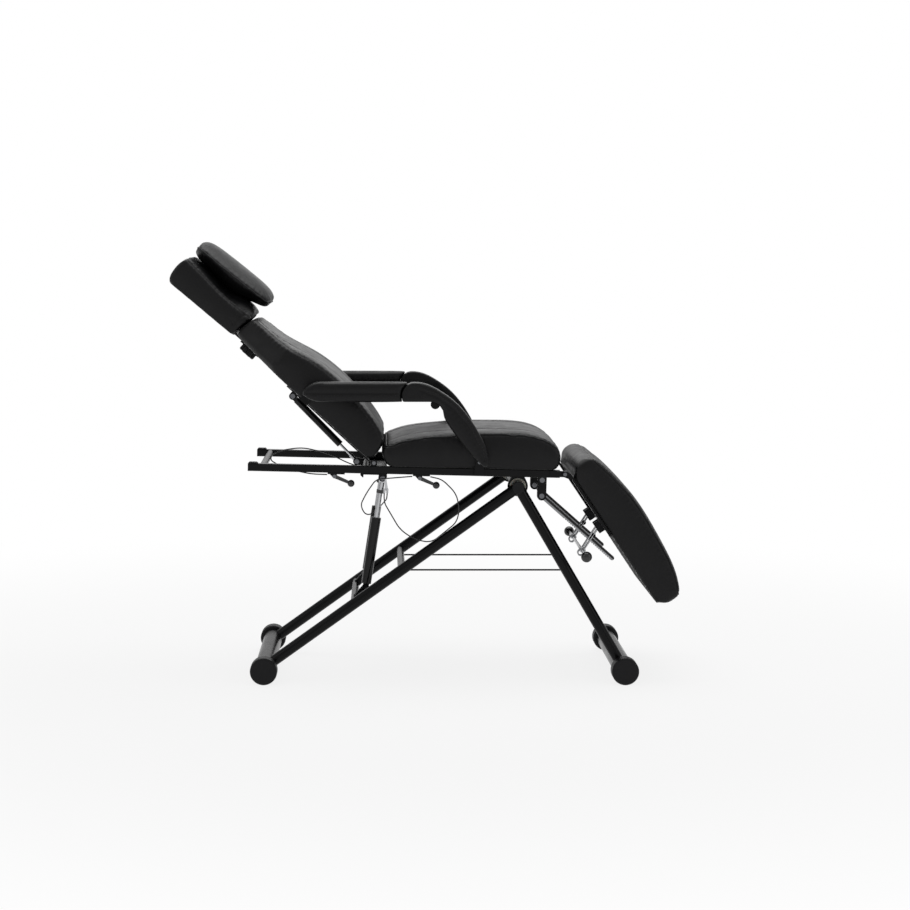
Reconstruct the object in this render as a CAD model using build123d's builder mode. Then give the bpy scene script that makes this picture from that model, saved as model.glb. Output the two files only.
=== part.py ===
import math
import os

from build123d import *

# Tattoo chair: a low steel trestle, a tilting deck, and an upholstered back, seat, leg rest,
# head rest and pair of arms. Millimetres, +Z up, +X towards the feet, +Y to the sitter's left.
# The origin is on the floor, under the middle of the chair as it stands in its resting pose.

# Stance: where the two foot bars and the tilt axle lie
foot_rear_x = -467.0
foot_front_x = 593.0
foot_bar_half = 297.0
foot_cap_radius = 40.0
foot_cap_flat = 0.3
foot_cap_length = 48.0
foot_cap_wall = 3.0
foot_bar_radius = 29.0
apex_x = 280.0
apex_z = 576.0
foot_bar_z = foot_cap_radius - foot_cap_flat

# Resting angles, in degrees
deck_tilt = 1.3
back_rise = 41.35
leg_drop = 55.0
head_nod = 3.8

# Fits and overruns
tube_wall = 2.0
weld_gap = 0.05
running_fit = 0.05
soft_gap = 0.3
open_fit = 0.5
cut_over = 5.0
sides = (-1.0, 1.0)

# Trestle tubes
leg_radius = 16.0
leg_y = 225.0
apex_radius = 18.0
apex_half = leg_y + leg_radius + 1.5
apex_cap_lip = 3.0
apex_plug_depth = 9.0
cross_radius = 11.0
strut_cross_x = -202.0
tie_cross_x = -62.5
front_cross_z = 321.0
tie_rod_radius = 2.5
tie_rod_y = 160.0
tie_rod_z = 321.0

# Deck rails and cross tubes, in the deck's own length u and height v from the tilt axle
rail_y = 227.5
rail_width = 25.0
rail_bottom_v = 31.0
rail_height = 22.0
rail_head_u = -790.0
rail_foot_u = 118.0
rail_mid_v = rail_bottom_v + rail_height / 2
rail_top_v = rail_bottom_v + rail_height
buffer_length = 26.0
buffer_rise = 4.2
deck_cross_radius = 10.5
head_cross_u = -752.0
spring_cross_u = -449.0
rack_cross_u = 75.0
tilt_lug_y = 199.0
tilt_lug_thick = 6.0
tilt_lug_radius = 30.0
tilt_bush_wall = 3.0

# Back hinge
back_hinge_u = -425.0
back_hinge_v = 62.0
hinge_pin_radius = 4.0
hinge_head_radius = 6.5
hinge_head_thick = 3.0
hinge_lug_radius = 8.0
hinge_lug_thick = 5.0
back_hinge_y = 220.0
deck_lug_y = 231.0
head_taper = 20.0

# Back frame and back cushion, in the back's own length s and height n from its hinge
strap_width = 25.0
strap_thick = 4.0
strap_y = 215.0
back_strap_end = 340.0
board_thick = 12.0
back_start = 10.0
back_end = 556.0
back_seat_n = -4.0
back_half = 256.0
shoulder_half = 158.0
shoulder_start = 395.0
back_crown = 8.0
back_stations = (
    (-10.0, 52.0),
    (32.0, 70.0),
    (80.0, 87.0),
    (152.0, 102.0),
    (235.0, 108.0),
    (348.0, 97.0),
    (404.0, 82.0),
    (450.0, 72.0),
    (540.0, 66.0),
    (575.0, 60.0),
)
back_low_bulge = (14.0, 38.0)
back_low_top = (32.0, 72.0)
back_high_bulge = (551.5, 40.0)
back_high_top = (542.0, 71.0)

# Leg hinge and leg rest, in the leg's own length s and height n from its hinge
leg_hinge_u = 134.0
leg_hinge_v = 43.0
leg_start = 20.0
leg_end = 484.0
leg_half = 260.0
leg_board_n = 15.0
leg_board_thick = 9.0
leg_strap_n = 8.0
leg_strap_y = 237.0
leg_strap_start = 8.0
leg_strap_end = 226.0
leg_strap_width = 30.0
leg_strap_thick = 7.0
leg_bar_width = 40.0
leg_bar_thick = 4.0
leg_eye_radius = 9.0
leg_eye_gap = 1.3
leg_plate_length = 44.0
leg_crown = 8.0
leg_stations = (
    (-22.0, 72.0),
    (11.0, 94.0),
    (76.0, 113.0),
    (152.0, 126.0),
    (230.0, 129.0),
    (313.0, 124.0),
    (377.0, 118.0),
    (426.0, 109.0),
    (461.0, 97.0),
    (500.0, 74.0),
)
leg_knee_bulge = (-8.0, 62.0)
leg_knee_top = (12.0, 96.0)
leg_foot_bulge = (490.0, 50.0)
leg_foot_top = (484.0, 84.0)

# Seat
seat_start = -392.0
seat_end = 116.0
seat_half = 256.0
seat_crown = 10.0
seat_stations = (
    (-420.0, 84.0),
    (-385.0, 112.0),
    (-340.0, 131.0),
    (-250.0, 146.0),
    (-60.0, 157.0),
    (20.0, 155.0),
    (80.0, 139.0),
    (112.0, 117.0),
    (136.0, 92.0),
)
seat_rear_bulge_u = -400.0
seat_rear_bulge_v = 88.0
seat_rear_top = (-386.0, 118.0)
seat_front_bulge_u = 123.0
seat_front_bulge_v = 86.0
seat_front_top = (112.0, 116.0)

# Cushion forms: how far seams draw in, how the top is split into panels, board margins
side_tuck = 6.0
panel_share = 0.58
panel_valley = 4.0
swell_share = 0.72
cushion_corner = 34.0
board_inset = 6.0
board_corner = 20.0

# Lockable gas springs under the deck, one at each side
strut_y = 143.0
strut_low_x = -169.3
strut_low_z = 264.6
strut_top_u = -399.0
strut_top_v = 10.0
strut_tube_radius = 14.5
strut_tube_wall = 2.5
strut_neck = 14.0
strut_bore_start = 41.0
strut_tube_end = 214.0
strut_mouth = 9.3
strut_mouth_thick = 6.0
strut_rod_radius = 7.0
strut_rod_start = 186.0
strut_nut_radius = 11.5
strut_nut_start = 288.0
strut_nut_thick = 10.0
strut_head_radius = 9.0
eye_radius = 9.0
eye_thick = 12.0
eye_pin_radius = 5.0
clevis_gap = 13.0
clevis_thick = 4.0
clevis_radius = 11.0
pin_head_radius = 7.5
pin_head_thick = 3.0
channel_start_u = -464.0
channel_end_u = -386.0
channel_depth = 11.0
channel_wall = 3.0
channel_chamfer = 6.0

# Gas spring of the back, on the middle line
spring_low_u = -478.0
spring_low_v = 44.0
spring_top_s = 304.5
spring_top_n = -34.0
spring_tube_radius = 10.5
spring_tube_wall = 1.8
spring_tube_start = 16.0
spring_bore_start = 48.0
spring_tube_end = 205.0
spring_mouth = 7.5
spring_mouth_thick = 5.0
spring_rod_radius = 4.0
spring_rod_end = 150.0
spring_head_radius = 6.2
spring_head_end = 26.0
spring_eye_radius = 8.0

# Head rest, in its own length h and height m from its lower end
head_seat_s = 550.0
head_seat_n = -1.0
head_length = 262.0
head_half = 145.0
head_board_thick = 9.0
head_crown = 14.0
head_corner = 22.0
head_stations = (
    (-26.0, 58.0),
    (-12.0, 61.0),
    (63.0, 62.0),
    (160.0, 70.0),
    (250.0, 80.0),
    (280.0, 83.0),
)
head_start_h = 10.5
head_low_bulge = (1.5, 45.0)
head_low_top = (-6.0, 79.0)
head_end_h = 260.0
head_high_bulge = (266.0, 42.0)
head_high_top = (254.0, 84.0)
pillow_m = 127.0
pillow_stations = (
    (-26.0, 82.0, 17.0, 17.0),
    (-18.0, 96.0, 26.0, 26.0),
    (0.0, 108.0, 33.0, 32.0),
    (40.0, 119.0, 37.0, 40.0),
    (115.0, 125.0, 38.0, 48.4),
    (190.0, 119.0, 37.0, 36.0),
    (230.0, 108.0, 33.0, 31.0),
    (248.0, 96.0, 26.0, 25.0),
    (256.0, 82.0, 17.0, 17.0),
)
post_width = 40.0
post_thick = 6.0
post_start_s = 365.0
post_bend_s = 648.0
post_n = -14.0
post_end_h = 210.0
sleeve_start_s = 462.0
sleeve_end_s = 532.0
sleeve_wall = 4.0
knob_s = 495.0
knob_radius = 27.0
knob_thick = 17.0
knob_top_n = -19.0
knob_edge = 2.5
knob_stud_radius = 4.0
knob_lobe_count = 7
knob_lobe_radius = 7.0

# Arms, in plain length and height, with their four pivots
arm_rear_x = -333.5
arm_rear_z = 844.8
arm_front_x = 164.2
arm_front_lift = 5.474
arm_in_y = 268.0
arm_width = 50.0
arm_bar_thick = 3.0
arm_bar_half = 11.0
arm_pin_radius = 4.0
arm_top_z = 888.4
arm_low_z = 832.0
arm_nose_low = ((-290.0, 832.0), (-340.0, 846.0), (-352.0, 856.0))
arm_nose_high = ((-352.0, 856.0), (-335.0, 877.0), (-285.0, 888.4))
arm_round = 12.0
strut_round = 8.0
arm_knuckle = 38.0
arm_knob_radius = 13.5
arm_knuckle_gap = 0.6
pad_notch_top = 17.5
pad_notch_foot = (27.5, 27.1)
arm_pocket = 9.0
arm_bar_gap = 0.25
arm_bracket_y = 258.5
arm_bracket_thick = 3.0
arm_bracket_width = 28.0
arm_bracket_foot = 14.0
arm_strut_bar_y = arm_in_y - weld_gap - arm_bar_thick / 2
arm_pad_bar_y = arm_strut_bar_y - arm_bar_gap - arm_bar_thick
arm_standoff_shares = (0.2, 0.7)
strut_bar_shares = ((0.0, 0.0), (0.4, 0.04), (0.76, 0.46), (0.99, 0.82), (1.0, 1.0))
knuckle_share = (0.32, 0.145)
strut_outer_shares = ((0.369, -0.08), (0.618, 0.092), (0.896, 0.412), (1.084, 0.762), (1.131, 0.94))
strut_toe_share = (1.12, 1.03)
strut_inner_shares = ((1.052, 1.046), (0.8, 0.79), (0.448, 0.326), (0.4, 0.17))
strut_crook_share = (0.236, 0.092)

# Toothed support bars and the latch under the leg rest
rack_y = 150.0
rack_thick = 6.0
rack_depth = 13.0
rack_hinge_v = -32.5
rack_length = 282.0
rack_angle = 40.2
rack_tooth_pitch = 7.0
rack_tooth_depth = 4.0
rack_tooth_start = 96.0
rack_pin_radius = 5.0
rack_bracket_half = 13.5
rack_bracket_thick = 4.0
rack_bracket_gap = 8.0
rack_bracket_bolt_v = 15.0
guide_s = 215.6
guide_n = -42.0
guide_top_s = 198.0
guide_top_n = -2.0
guide_low_s = 236.0
guide_low_n = -92.0
guide_arm_half = 9.0
guide_arm_thick = 4.0
guide_arm_gap = 10.0
guide_slack = 8.2
roller_radius = 7.0
roller_gap = 0.6
roller_pin_radius = 3.0
housing_length = 36.0
housing_width = 34.0
housing_depth = 21.0
housing_roof = 3.0
handle_s = 231.9
handle_n = -81.0
slide_angle = -68.6
handle_radius = 5.0
handle_half = 290.0
handle_travel = 8.0
ball_radius = 16.0
catch_half = 4.0
catch_radius = 3.0

# Hand levers under the right rail
lever_back_u = -540.0
lever_tilt_u = -290.0
lever_v = 20.0
lever_y = -227.5
lever_plate_before = 20.0
lever_plate_after = 30.0
lever_plate_thick = 4.0
lever_plate_width = 24.0
lever_cheek_thick = 3.0
lever_cheek_gap = 10.0
lever_cheek_before = 22.0
lever_pin_radius = 2.5
lever_reach = 49.0
lever_fall = 20.0
lever_root_radius = 5.5
lever_thick = 8.0
lever_ball_radius = 10.5

# Cables of the hand levers
cable_radius = 1.8
arc_share = 0.45
back_cable_places = (
    (-562.0, 24.0, -222.0),
    (-610.0, 23.0, -208.0),
    (-690.0, 38.0, -202.0),
    (-742.0, 66.0, -192.0),
    (-700.0, 88.0, -175.0),
    (-640.0, 95.0, -140.0),
    (-564.0, 73.0, -75.0),
    (-508.0, 42.0, -25.2),
    (-485.0, 33.0, -15.2),
)
tilt_cable_rear_places = (
    (-312.0, 24.0, -222.0),
    (-380.0, 15.0, -203.0),
    (-418.0, 9.0, -184.0),
    (-445.0, -35.0, -150.0),
    (-464.0, -78.0, -122.0),
    (-442.0, -113.0, -112.0),
    (-404.0, -80.0, -114.0),
    (-386.0, -54.0, -148.0),
    (-384.5, -46.0, -159.55),
    (-384.0, -34.0, -159.55),
)
tilt_cable_front_places = (
    (-258.0, 24.0, -222.0),
    (-223.0, 15.0, -203.0),
    (-180.0, -27.0, -193.0),
    (-169.0, -75.0, -188.0),
    (-177.0, -114.0, -185.0),
    (-250.0, -177.0, -178.0),
    (-298.0, -169.0, -174.0),
    (-343.0, -142.0, -170.0),
    (-390.0, -66.0, -163.0),
    (-393.0, -48.0, -159.55),
    (-392.5, -34.0, -159.55),
)
ferrule_radius = 3.0
ferrule_length = 13.0
ferrule_lug_top = (-389.5, 6.0)
ferrule_lug_foot = (-387.0, -22.0)
ferrule_lug_round = 2.5
ferrule_lug_thick = 3.0

os.makedirs("parts", exist_ok=True)


def turned(degrees):
    """Unit direction in the side view, anticlockwise from +X with +Z up."""
    angle = math.radians(degrees)
    return Vector(math.cos(angle), 0, math.sin(angle))


def across(plane, y):
    """A side-view plane moved sideways to this distance from the middle of the chair."""
    return plane.offset(y * plane.z_dir.Y)


def point(plane, along, up, y=0.0):
    """A place given by length and height in a side-view plane, and by its distance sideways."""
    return plane.from_local_coords(Vector(along, up, y * plane.z_dir.Y))


def save(part, name):
    """Label a finished piece and write it out under its name."""
    part.label = name
    export_step(part, "parts/" + name + ".step")


ground = Plane.XZ
deck = Plane(origin=(apex_x, 0, apex_z), x_dir=turned(-deck_tilt), z_dir=(0, -1, 0))
back = Plane(
    origin=point(deck, back_hinge_u, back_hinge_v),
    x_dir=turned(180 - back_rise - deck_tilt),
    z_dir=(0, 1, 0),
)
leg = Plane(
    origin=point(deck, leg_hinge_u, leg_hinge_v),
    x_dir=turned(-leg_drop - deck_tilt),
    z_dir=(0, -1, 0),
)
head = Plane(
    origin=point(back, head_seat_s, head_seat_n),
    x_dir=turned(180 - back_rise - deck_tilt + head_nod),
    z_dir=(0, 1, 0),
)
rack = Plane(
    origin=point(deck, rack_cross_u, rack_hinge_v),
    x_dir=turned(-rack_angle - deck_tilt),
    z_dir=(0, -1, 0),
)

strut_low = point(ground, strut_low_x, strut_low_z)
strut_top = point(deck, strut_top_u, strut_top_v)
strut = Plane(origin=strut_low, x_dir=strut_top - strut_low, z_dir=(0, -1, 0))
strut_length = (strut_top - strut_low).length

spring_low = point(deck, spring_low_u, spring_low_v)
spring_top = point(back, spring_top_s, spring_top_n)
spring_up = Plane(origin=spring_low, x_dir=spring_top - spring_low, z_dir=(0, -1, 0))
spring_down = Plane(origin=spring_top, x_dir=spring_low - spring_top, z_dir=(0, -1, 0))

arm_rear = point(ground, arm_rear_x, arm_rear_z)
arm_front = point(ground, arm_front_x, back.origin.Z + arm_front_lift)
arm_elbow = arm_front + arm_rear - back.origin


def leg_line_z(foot_x, x):
    """Height of a trestle leg's centre line at this distance along the floor."""
    return foot_bar_z + (x - foot_x) * (apex_z - foot_bar_z) / (apex_x - foot_x)


tie_cross_z = leg_line_z(foot_rear_x, tie_cross_x)
strut_cross_z = leg_line_z(foot_rear_x, strut_cross_x)
front_cross_x = foot_front_x + (front_cross_z - foot_bar_z) * (apex_x - foot_front_x) / (
    apex_z - foot_bar_z
)


# Foot bars: round tubes across the floor, closed by large black feet
with BuildPart() as foot_bars:
    with BuildSketch(ground):
        with Locations((foot_rear_x, foot_bar_z), (foot_front_x, foot_bar_z)):
            Circle(foot_bar_radius)
            Circle(foot_bar_radius - tube_wall, mode=Mode.SUBTRACT)
    extrude(amount=foot_bar_half, both=True)
save(foot_bars.part, "foot_bars")

# Feet: moulded cups over the ends of the foot bars, with a small flat under each
foot_cap_start = foot_bar_half + foot_cap_wall - foot_cap_length
with BuildPart() as foot_caps:
    for x in (foot_rear_x, foot_front_x):
        for side in sides:
            cup = Plane(origin=(x, side * foot_cap_start, foot_bar_z), z_dir=(0, side, 0))
            with BuildSketch(cup):
                Circle(foot_cap_radius)
            extrude(amount=foot_cap_length)
            with BuildSketch(cup):
                Circle(foot_bar_radius + weld_gap)
            extrude(amount=foot_cap_length - foot_cap_wall, mode=Mode.SUBTRACT)
    rims = foot_caps.edges().filter_by(GeomType.CIRCLE).filter_by(
        lambda edge: edge.radius > foot_bar_radius + foot_cap_wall
    )
    fillet(rims, foot_cap_wall * 2)
    with BuildSketch(Plane.XY):
        Rectangle((foot_front_x - foot_rear_x) * 2, (foot_bar_half + foot_cap_length) * 2)
    extrude(amount=-foot_cap_radius, mode=Mode.SUBTRACT)
save(foot_caps.part, "foot_caps")


# Trestle legs: tubes coped round the foot bar and the tilt axle tube, the short pair also
# round the long pair, all welded
def trestle_legs(foot_x, coped_foot_x=None):
    with BuildPart() as tubes:
        for side in sides:
            foot = Vector(foot_x, side * leg_y, foot_bar_z)
            reach = Vector(apex_x, side * leg_y, apex_z) - foot
            with BuildSketch(Plane(origin=foot, x_dir=(0, 1, 0), z_dir=reach)):
                Circle(leg_radius)
                Circle(leg_radius - tube_wall, mode=Mode.SUBTRACT)
            extrude(amount=reach.length)
            if coped_foot_x is not None:
                other_foot = Vector(coped_foot_x, side * leg_y, foot_bar_z)
                other = Vector(apex_x, side * leg_y, apex_z) - other_foot
                with BuildSketch(Plane(origin=other_foot, x_dir=(0, 1, 0), z_dir=other)):
                    Circle(leg_radius + weld_gap)
                extrude(amount=other.length, mode=Mode.SUBTRACT)
        with BuildSketch(ground):
            with Locations((foot_x, foot_bar_z)):
                Circle(foot_bar_radius + weld_gap)
            with Locations((apex_x, apex_z)):
                Circle(apex_radius + weld_gap)
        extrude(amount=leg_y + leg_radius + cut_over, both=True, mode=Mode.SUBTRACT)
    return tubes.part


save(trestle_legs(foot_rear_x), "long_legs")
save(trestle_legs(foot_front_x, foot_rear_x), "short_legs")

# Tilt axle tube across the top of the trestle, with its end plugs
with BuildPart() as axle_tube:
    with BuildSketch(ground):
        with Locations((apex_x, apex_z)):
            Circle(apex_radius)
            Circle(apex_radius - tube_wall, mode=Mode.SUBTRACT)
    extrude(amount=apex_half, both=True)
save(axle_tube.part, "tilt_axle_tube")

with BuildPart() as axle_plugs:
    for side in sides:
        mouth = Plane(origin=(apex_x, side * apex_half, apex_z), z_dir=(0, side, 0))
        with BuildSketch(mouth):
            Circle(apex_radius)
        extrude(amount=apex_cap_lip)
        with BuildSketch(mouth):
            Circle(apex_radius - tube_wall - weld_gap)
        extrude(amount=-apex_plug_depth)
    chamfer(axle_plugs.faces().filter_by(Axis.Y).sort_by(Axis.Y)[0].edges(), apex_cap_lip / 2)
    chamfer(axle_plugs.faces().filter_by(Axis.Y).sort_by(Axis.Y)[-1].edges(), apex_cap_lip / 2)
save(axle_plugs.part, "tilt_axle_plugs")


# Cross tubes welded between each pair of trestle legs
tie_crosses = ((foot_rear_x, tie_cross_x, tie_cross_z), (foot_front_x, front_cross_x, front_cross_z))
with BuildPart() as tie_cross_tubes:
    for foot_x, x, z in tie_crosses:
        with BuildSketch(ground):
            with Locations((x, z)):
                Circle(cross_radius)
                Circle(cross_radius - tube_wall, mode=Mode.SUBTRACT)
        extrude(amount=leg_y, both=True)
        for side in sides:
            foot = Vector(foot_x, side * leg_y, foot_bar_z)
            reach = Vector(apex_x, side * leg_y, apex_z) - foot
            with BuildSketch(Plane(origin=foot, x_dir=(0, 1, 0), z_dir=reach)):
                Circle(leg_radius + weld_gap)
            extrude(amount=reach.length, mode=Mode.SUBTRACT)
save(tie_cross_tubes.part, "tie_cross_tubes")

# Tie rods between the rear and front cross tubes, welded at both ends
with BuildPart() as tie_rods:
    for side in sides:
        with BuildSketch(Plane.YZ.offset(tie_cross_x)):
            with Locations((side * tie_rod_y, tie_rod_z)):
                Circle(tie_rod_radius)
        extrude(amount=front_cross_x - tie_cross_x)
    with BuildSketch(ground):
        with Locations((tie_cross_x, tie_cross_z), (front_cross_x, front_cross_z)):
            Circle(cross_radius + weld_gap)
    extrude(amount=leg_y, both=True, mode=Mode.SUBTRACT)
save(tie_rods.part, "tie_rods")

# Cross tube of the tilt springs, with pairs of cheeks welded on that hold the spring eyes
cheek_y = clevis_gap / 2 + clevis_thick / 2
with BuildPart() as strut_cross:
    with BuildSketch(ground):
        with Locations((strut_cross_x, strut_cross_z)):
            Circle(cross_radius)
    extrude(amount=leg_y, both=True)
    for side in sides:
        for cheek in sides:
            with BuildSketch(across(ground, side * strut_y + cheek * cheek_y)):
                with Locations((strut_low_x, strut_low_z)):
                    Circle(clevis_radius)
                with Locations((strut_cross_x, strut_cross_z)):
                    Circle(cross_radius - tube_wall / 2)
                make_hull()
                with Locations((strut_low_x, strut_low_z)):
                    Circle(eye_pin_radius + running_fit, mode=Mode.SUBTRACT)
            extrude(amount=clevis_thick / 2, both=True)
        foot = Vector(foot_rear_x, side * leg_y, foot_bar_z)
        reach = Vector(apex_x, side * leg_y, apex_z) - foot
        with BuildSketch(Plane(origin=foot, x_dir=(0, 1, 0), z_dir=reach)):
            Circle(leg_radius + weld_gap)
        extrude(amount=reach.length, mode=Mode.SUBTRACT)
    with BuildSketch(ground):
        with Locations((strut_cross_x, strut_cross_z)):
            Circle(cross_radius - tube_wall)
    extrude(amount=leg_y, both=True, mode=Mode.SUBTRACT)
save(strut_cross.part, "strut_cross_tube")

# Clevis pins: a shank with a flat head at each end, one for each middle distance sideways
def clevis_pins(place, middles, radius, head, half_span):
    with BuildPart() as pins:
        for middle in middles:
            seat = Plane(origin=(place.X, middle, place.Z), z_dir=(0, -1, 0))
            with BuildSketch(seat):
                Circle(radius)
            extrude(amount=half_span + pin_head_thick, both=True)
            for end in sides:
                with BuildSketch(seat.offset(end * (half_span + running_fit))):
                    Circle(head)
                extrude(amount=end * pin_head_thick)
    return pins.part


clevis_half = clevis_gap / 2 + clevis_thick
strut_middles = (-strut_y, strut_y)
save(
    clevis_pins(strut_low, strut_middles, eye_pin_radius, pin_head_radius, clevis_half),
    "strut_lower_pins",
)

# Tilt gas springs: painted pressure tubes with an eye at the foot and an open gland on top
with BuildPart() as tilt_tubes:
    for side in sides:
        flank = across(strut, side * strut_y)
        with BuildSketch(flank):
            with BuildLine():
                bore = strut_tube_radius - strut_tube_wall
                Polyline(
                    (strut_neck, 0),
                    (strut_neck, strut_tube_radius),
                    (strut_tube_end, strut_tube_radius),
                    (strut_tube_end, strut_mouth),
                    (strut_tube_end - strut_mouth_thick, strut_mouth),
                    (strut_tube_end - strut_mouth_thick, bore),
                    (strut_bore_start, bore),
                    (strut_bore_start, 0),
                    close=True,
                )
            make_face()
        revolve(axis=Axis(flank.origin, flank.x_dir))
        with BuildSketch(flank):
            Circle(eye_radius)
            with Locations((strut_neck / 2, 0)):
                Rectangle(strut_neck, eye_radius * 2)
        extrude(amount=eye_thick / 2, both=True)
        with BuildSketch(flank):
            Circle(eye_pin_radius + running_fit)
        extrude(amount=eye_thick, both=True, mode=Mode.SUBTRACT)
save(tilt_tubes.part, "tilt_spring_tubes")

# Tilt gas spring rods, bright steel, with release heads and eyes at the top
with BuildPart() as tilt_rods:
    for side in sides:
        flank = across(strut, side * strut_y)
        with BuildSketch(flank):
            with BuildLine():
                Polyline(
                    (strut_rod_start, 0),
                    (strut_rod_start, strut_rod_radius),
                    (strut_nut_start + strut_nut_thick, strut_rod_radius),
                    (strut_nut_start + strut_nut_thick, strut_head_radius),
                    (strut_length - strut_neck, strut_head_radius),
                    (strut_length - strut_neck, 0),
                    close=True,
                )
            make_face()
        revolve(axis=Axis(flank.origin, flank.x_dir))
        with BuildSketch(flank):
            with Locations((strut_length, 0)):
                Circle(eye_radius)
            with Locations((strut_length - strut_neck / 2, 0)):
                Rectangle(strut_neck, eye_radius * 2)
        extrude(amount=eye_thick / 2, both=True)
        with BuildSketch(flank):
            with Locations((strut_length, 0)):
                Circle(eye_pin_radius + running_fit)
        extrude(amount=eye_thick, both=True, mode=Mode.SUBTRACT)
save(tilt_rods.part, "tilt_spring_rods")

with BuildPart() as tilt_nuts:
    for side in sides:
        flank = across(strut, side * strut_y)
        face = Plane(origin=point(flank, strut_nut_start, 0), z_dir=flank.x_dir)
        with BuildSketch(face):
            RegularPolygon(strut_nut_radius, 6)
            Circle(strut_rod_radius + weld_gap, mode=Mode.SUBTRACT)
        extrude(amount=strut_nut_thick - weld_gap)
save(tilt_nuts.part, "tilt_spring_nuts")

# Channel across the underside of the rails, bent from plate, which carries the tilt springs
with BuildPart() as channel:
    with BuildSketch(deck):
        with BuildLine():
            Polyline(
                (channel_start_u, rail_bottom_v),
                (channel_end_u, rail_bottom_v),
                (channel_end_u, rail_bottom_v - channel_depth),
                (channel_end_u - channel_wall, rail_bottom_v - channel_depth),
                (channel_end_u - channel_wall, rail_bottom_v - channel_wall),
                (channel_start_u + channel_wall + channel_chamfer, rail_bottom_v - channel_wall),
                (channel_start_u + channel_wall + channel_chamfer, rail_bottom_v - channel_depth),
                (channel_start_u + channel_chamfer, rail_bottom_v - channel_depth),
                (channel_start_u, rail_bottom_v - channel_depth + channel_chamfer),
                close=True,
            )
        make_face()
    extrude(amount=rail_y + rail_width / 2, both=True)
    cheek_top = rail_bottom_v - channel_wall
    for side in sides:
        for cheek in sides:
            with BuildSketch(across(deck, side * strut_y + cheek * cheek_y)):
                with Locations((strut_top_u, strut_top_v)):
                    Circle(clevis_radius)
                with Locations((strut_top_u, (strut_top_v + cheek_top) / 2)):
                    Rectangle(clevis_radius * 2, cheek_top - strut_top_v)
                with Locations((strut_top_u, strut_top_v)):
                    Circle(eye_pin_radius + running_fit, mode=Mode.SUBTRACT)
            extrude(amount=clevis_thick / 2, both=True)
save(channel.part, "strut_channel")


# Deck rails: flat-sided tubes along both sides, each with a lug for the back's hinge and a
# plate for the leg rest's hinge welded on
with BuildPart() as deck_rails:
    lug_foot = back_hinge_v - rail_top_v
    for side in sides:
        start = point(deck, rail_head_u, rail_mid_v, side * rail_y)
        with BuildSketch(Plane(origin=start, x_dir=(0, 1, 0), z_dir=deck.x_dir)):
            RectangleRounded(rail_width, rail_height, tube_wall)
            Rectangle(
                rail_width - tube_wall * 2, rail_height - tube_wall * 2, mode=Mode.SUBTRACT
            )
        extrude(amount=rail_foot_u - rail_head_u)
        with BuildSketch(across(deck, side * deck_lug_y)):
            with Locations((back_hinge_u, back_hinge_v)):
                Circle(hinge_lug_radius)
            with Locations((back_hinge_u, rail_top_v + lug_foot / 2)):
                Rectangle(hinge_lug_radius * 2, lug_foot)
            with Locations((back_hinge_u, back_hinge_v)):
                Circle(hinge_pin_radius + weld_gap, mode=Mode.SUBTRACT)
        extrude(amount=hinge_lug_thick / 2, both=True)
        with BuildSketch(across(deck, side * (rail_y + rail_width / 2))):
            with Locations((leg_hinge_u, leg_hinge_v)):
                Circle(leg_eye_radius)
            with Locations((leg_hinge_u - leg_plate_length / 2, leg_hinge_v)):
                Rectangle(leg_plate_length, leg_eye_radius * 2)
            with Locations((leg_hinge_u, leg_hinge_v)):
                Circle(hinge_pin_radius + weld_gap, mode=Mode.SUBTRACT)
        extrude(amount=-side * hinge_lug_thick)
save(deck_rails.part, "deck_rails")

# Rail ends: rubber buffers under the lowered back, and plugs at the foot end
with BuildPart() as rail_ends:
    for side in sides:
        with BuildSketch(across(deck, side * rail_y)):
            with BuildLine():
                low = rail_top_v + weld_gap
                high = rail_top_v + buffer_rise
                Polyline(
                    (rail_head_u - tube_wall * 2, rail_bottom_v),
                    (rail_head_u - weld_gap, rail_bottom_v),
                    (rail_head_u - weld_gap, low),
                    (rail_head_u + buffer_length, low),
                    (rail_head_u + buffer_length - buffer_rise, high),
                    (rail_head_u, high),
                    (rail_head_u - tube_wall * 2, low),
                    close=True,
                )
            make_face()
        extrude(amount=rail_width / 2, both=True)
        end = point(deck, rail_foot_u, rail_mid_v, side * rail_y)
        with BuildSketch(Plane(origin=end, x_dir=(0, 1, 0), z_dir=deck.x_dir)):
            RectangleRounded(rail_width, rail_height, tube_wall)
        extrude(amount=tube_wall)
save(rail_ends.part, "rail_end_caps")

# Cross tubes at the head end and under the front of the seat, welded between the rails
cross_half = rail_y - rail_width / 2 - weld_gap
with BuildPart() as end_crosses:
    with BuildSketch(deck):
        with Locations((head_cross_u, rail_mid_v), (rack_cross_u, rail_mid_v)):
            Circle(deck_cross_radius)
            Circle(deck_cross_radius - tube_wall, mode=Mode.SUBTRACT)
    extrude(amount=cross_half, both=True)
save(end_crosses.part, "deck_cross_tubes")

# Cross tube of the back's gas spring, with the two cheeks that hold the spring's lower eye
with BuildPart() as spring_cross:
    with BuildSketch(deck):
        with Locations((spring_cross_u, rail_mid_v)):
            Circle(deck_cross_radius)
    extrude(amount=cross_half, both=True)
    for cheek in sides:
        with BuildSketch(across(deck, cheek * cheek_y)):
            with Locations((spring_low_u, spring_low_v)):
                Circle(clevis_radius)
            with Locations((spring_cross_u, rail_mid_v)):
                Circle(deck_cross_radius - tube_wall / 2)
            make_hull()
            with Locations((spring_low_u, spring_low_v)):
                Circle(eye_pin_radius + weld_gap, mode=Mode.SUBTRACT)
        extrude(amount=clevis_thick / 2, both=True)
    with BuildSketch(deck):
        with Locations((spring_cross_u, rail_mid_v)):
            Circle(deck_cross_radius - tube_wall)
    extrude(amount=cross_half, both=True, mode=Mode.SUBTRACT)
save(spring_cross.part, "deck_cross_spring")

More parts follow.
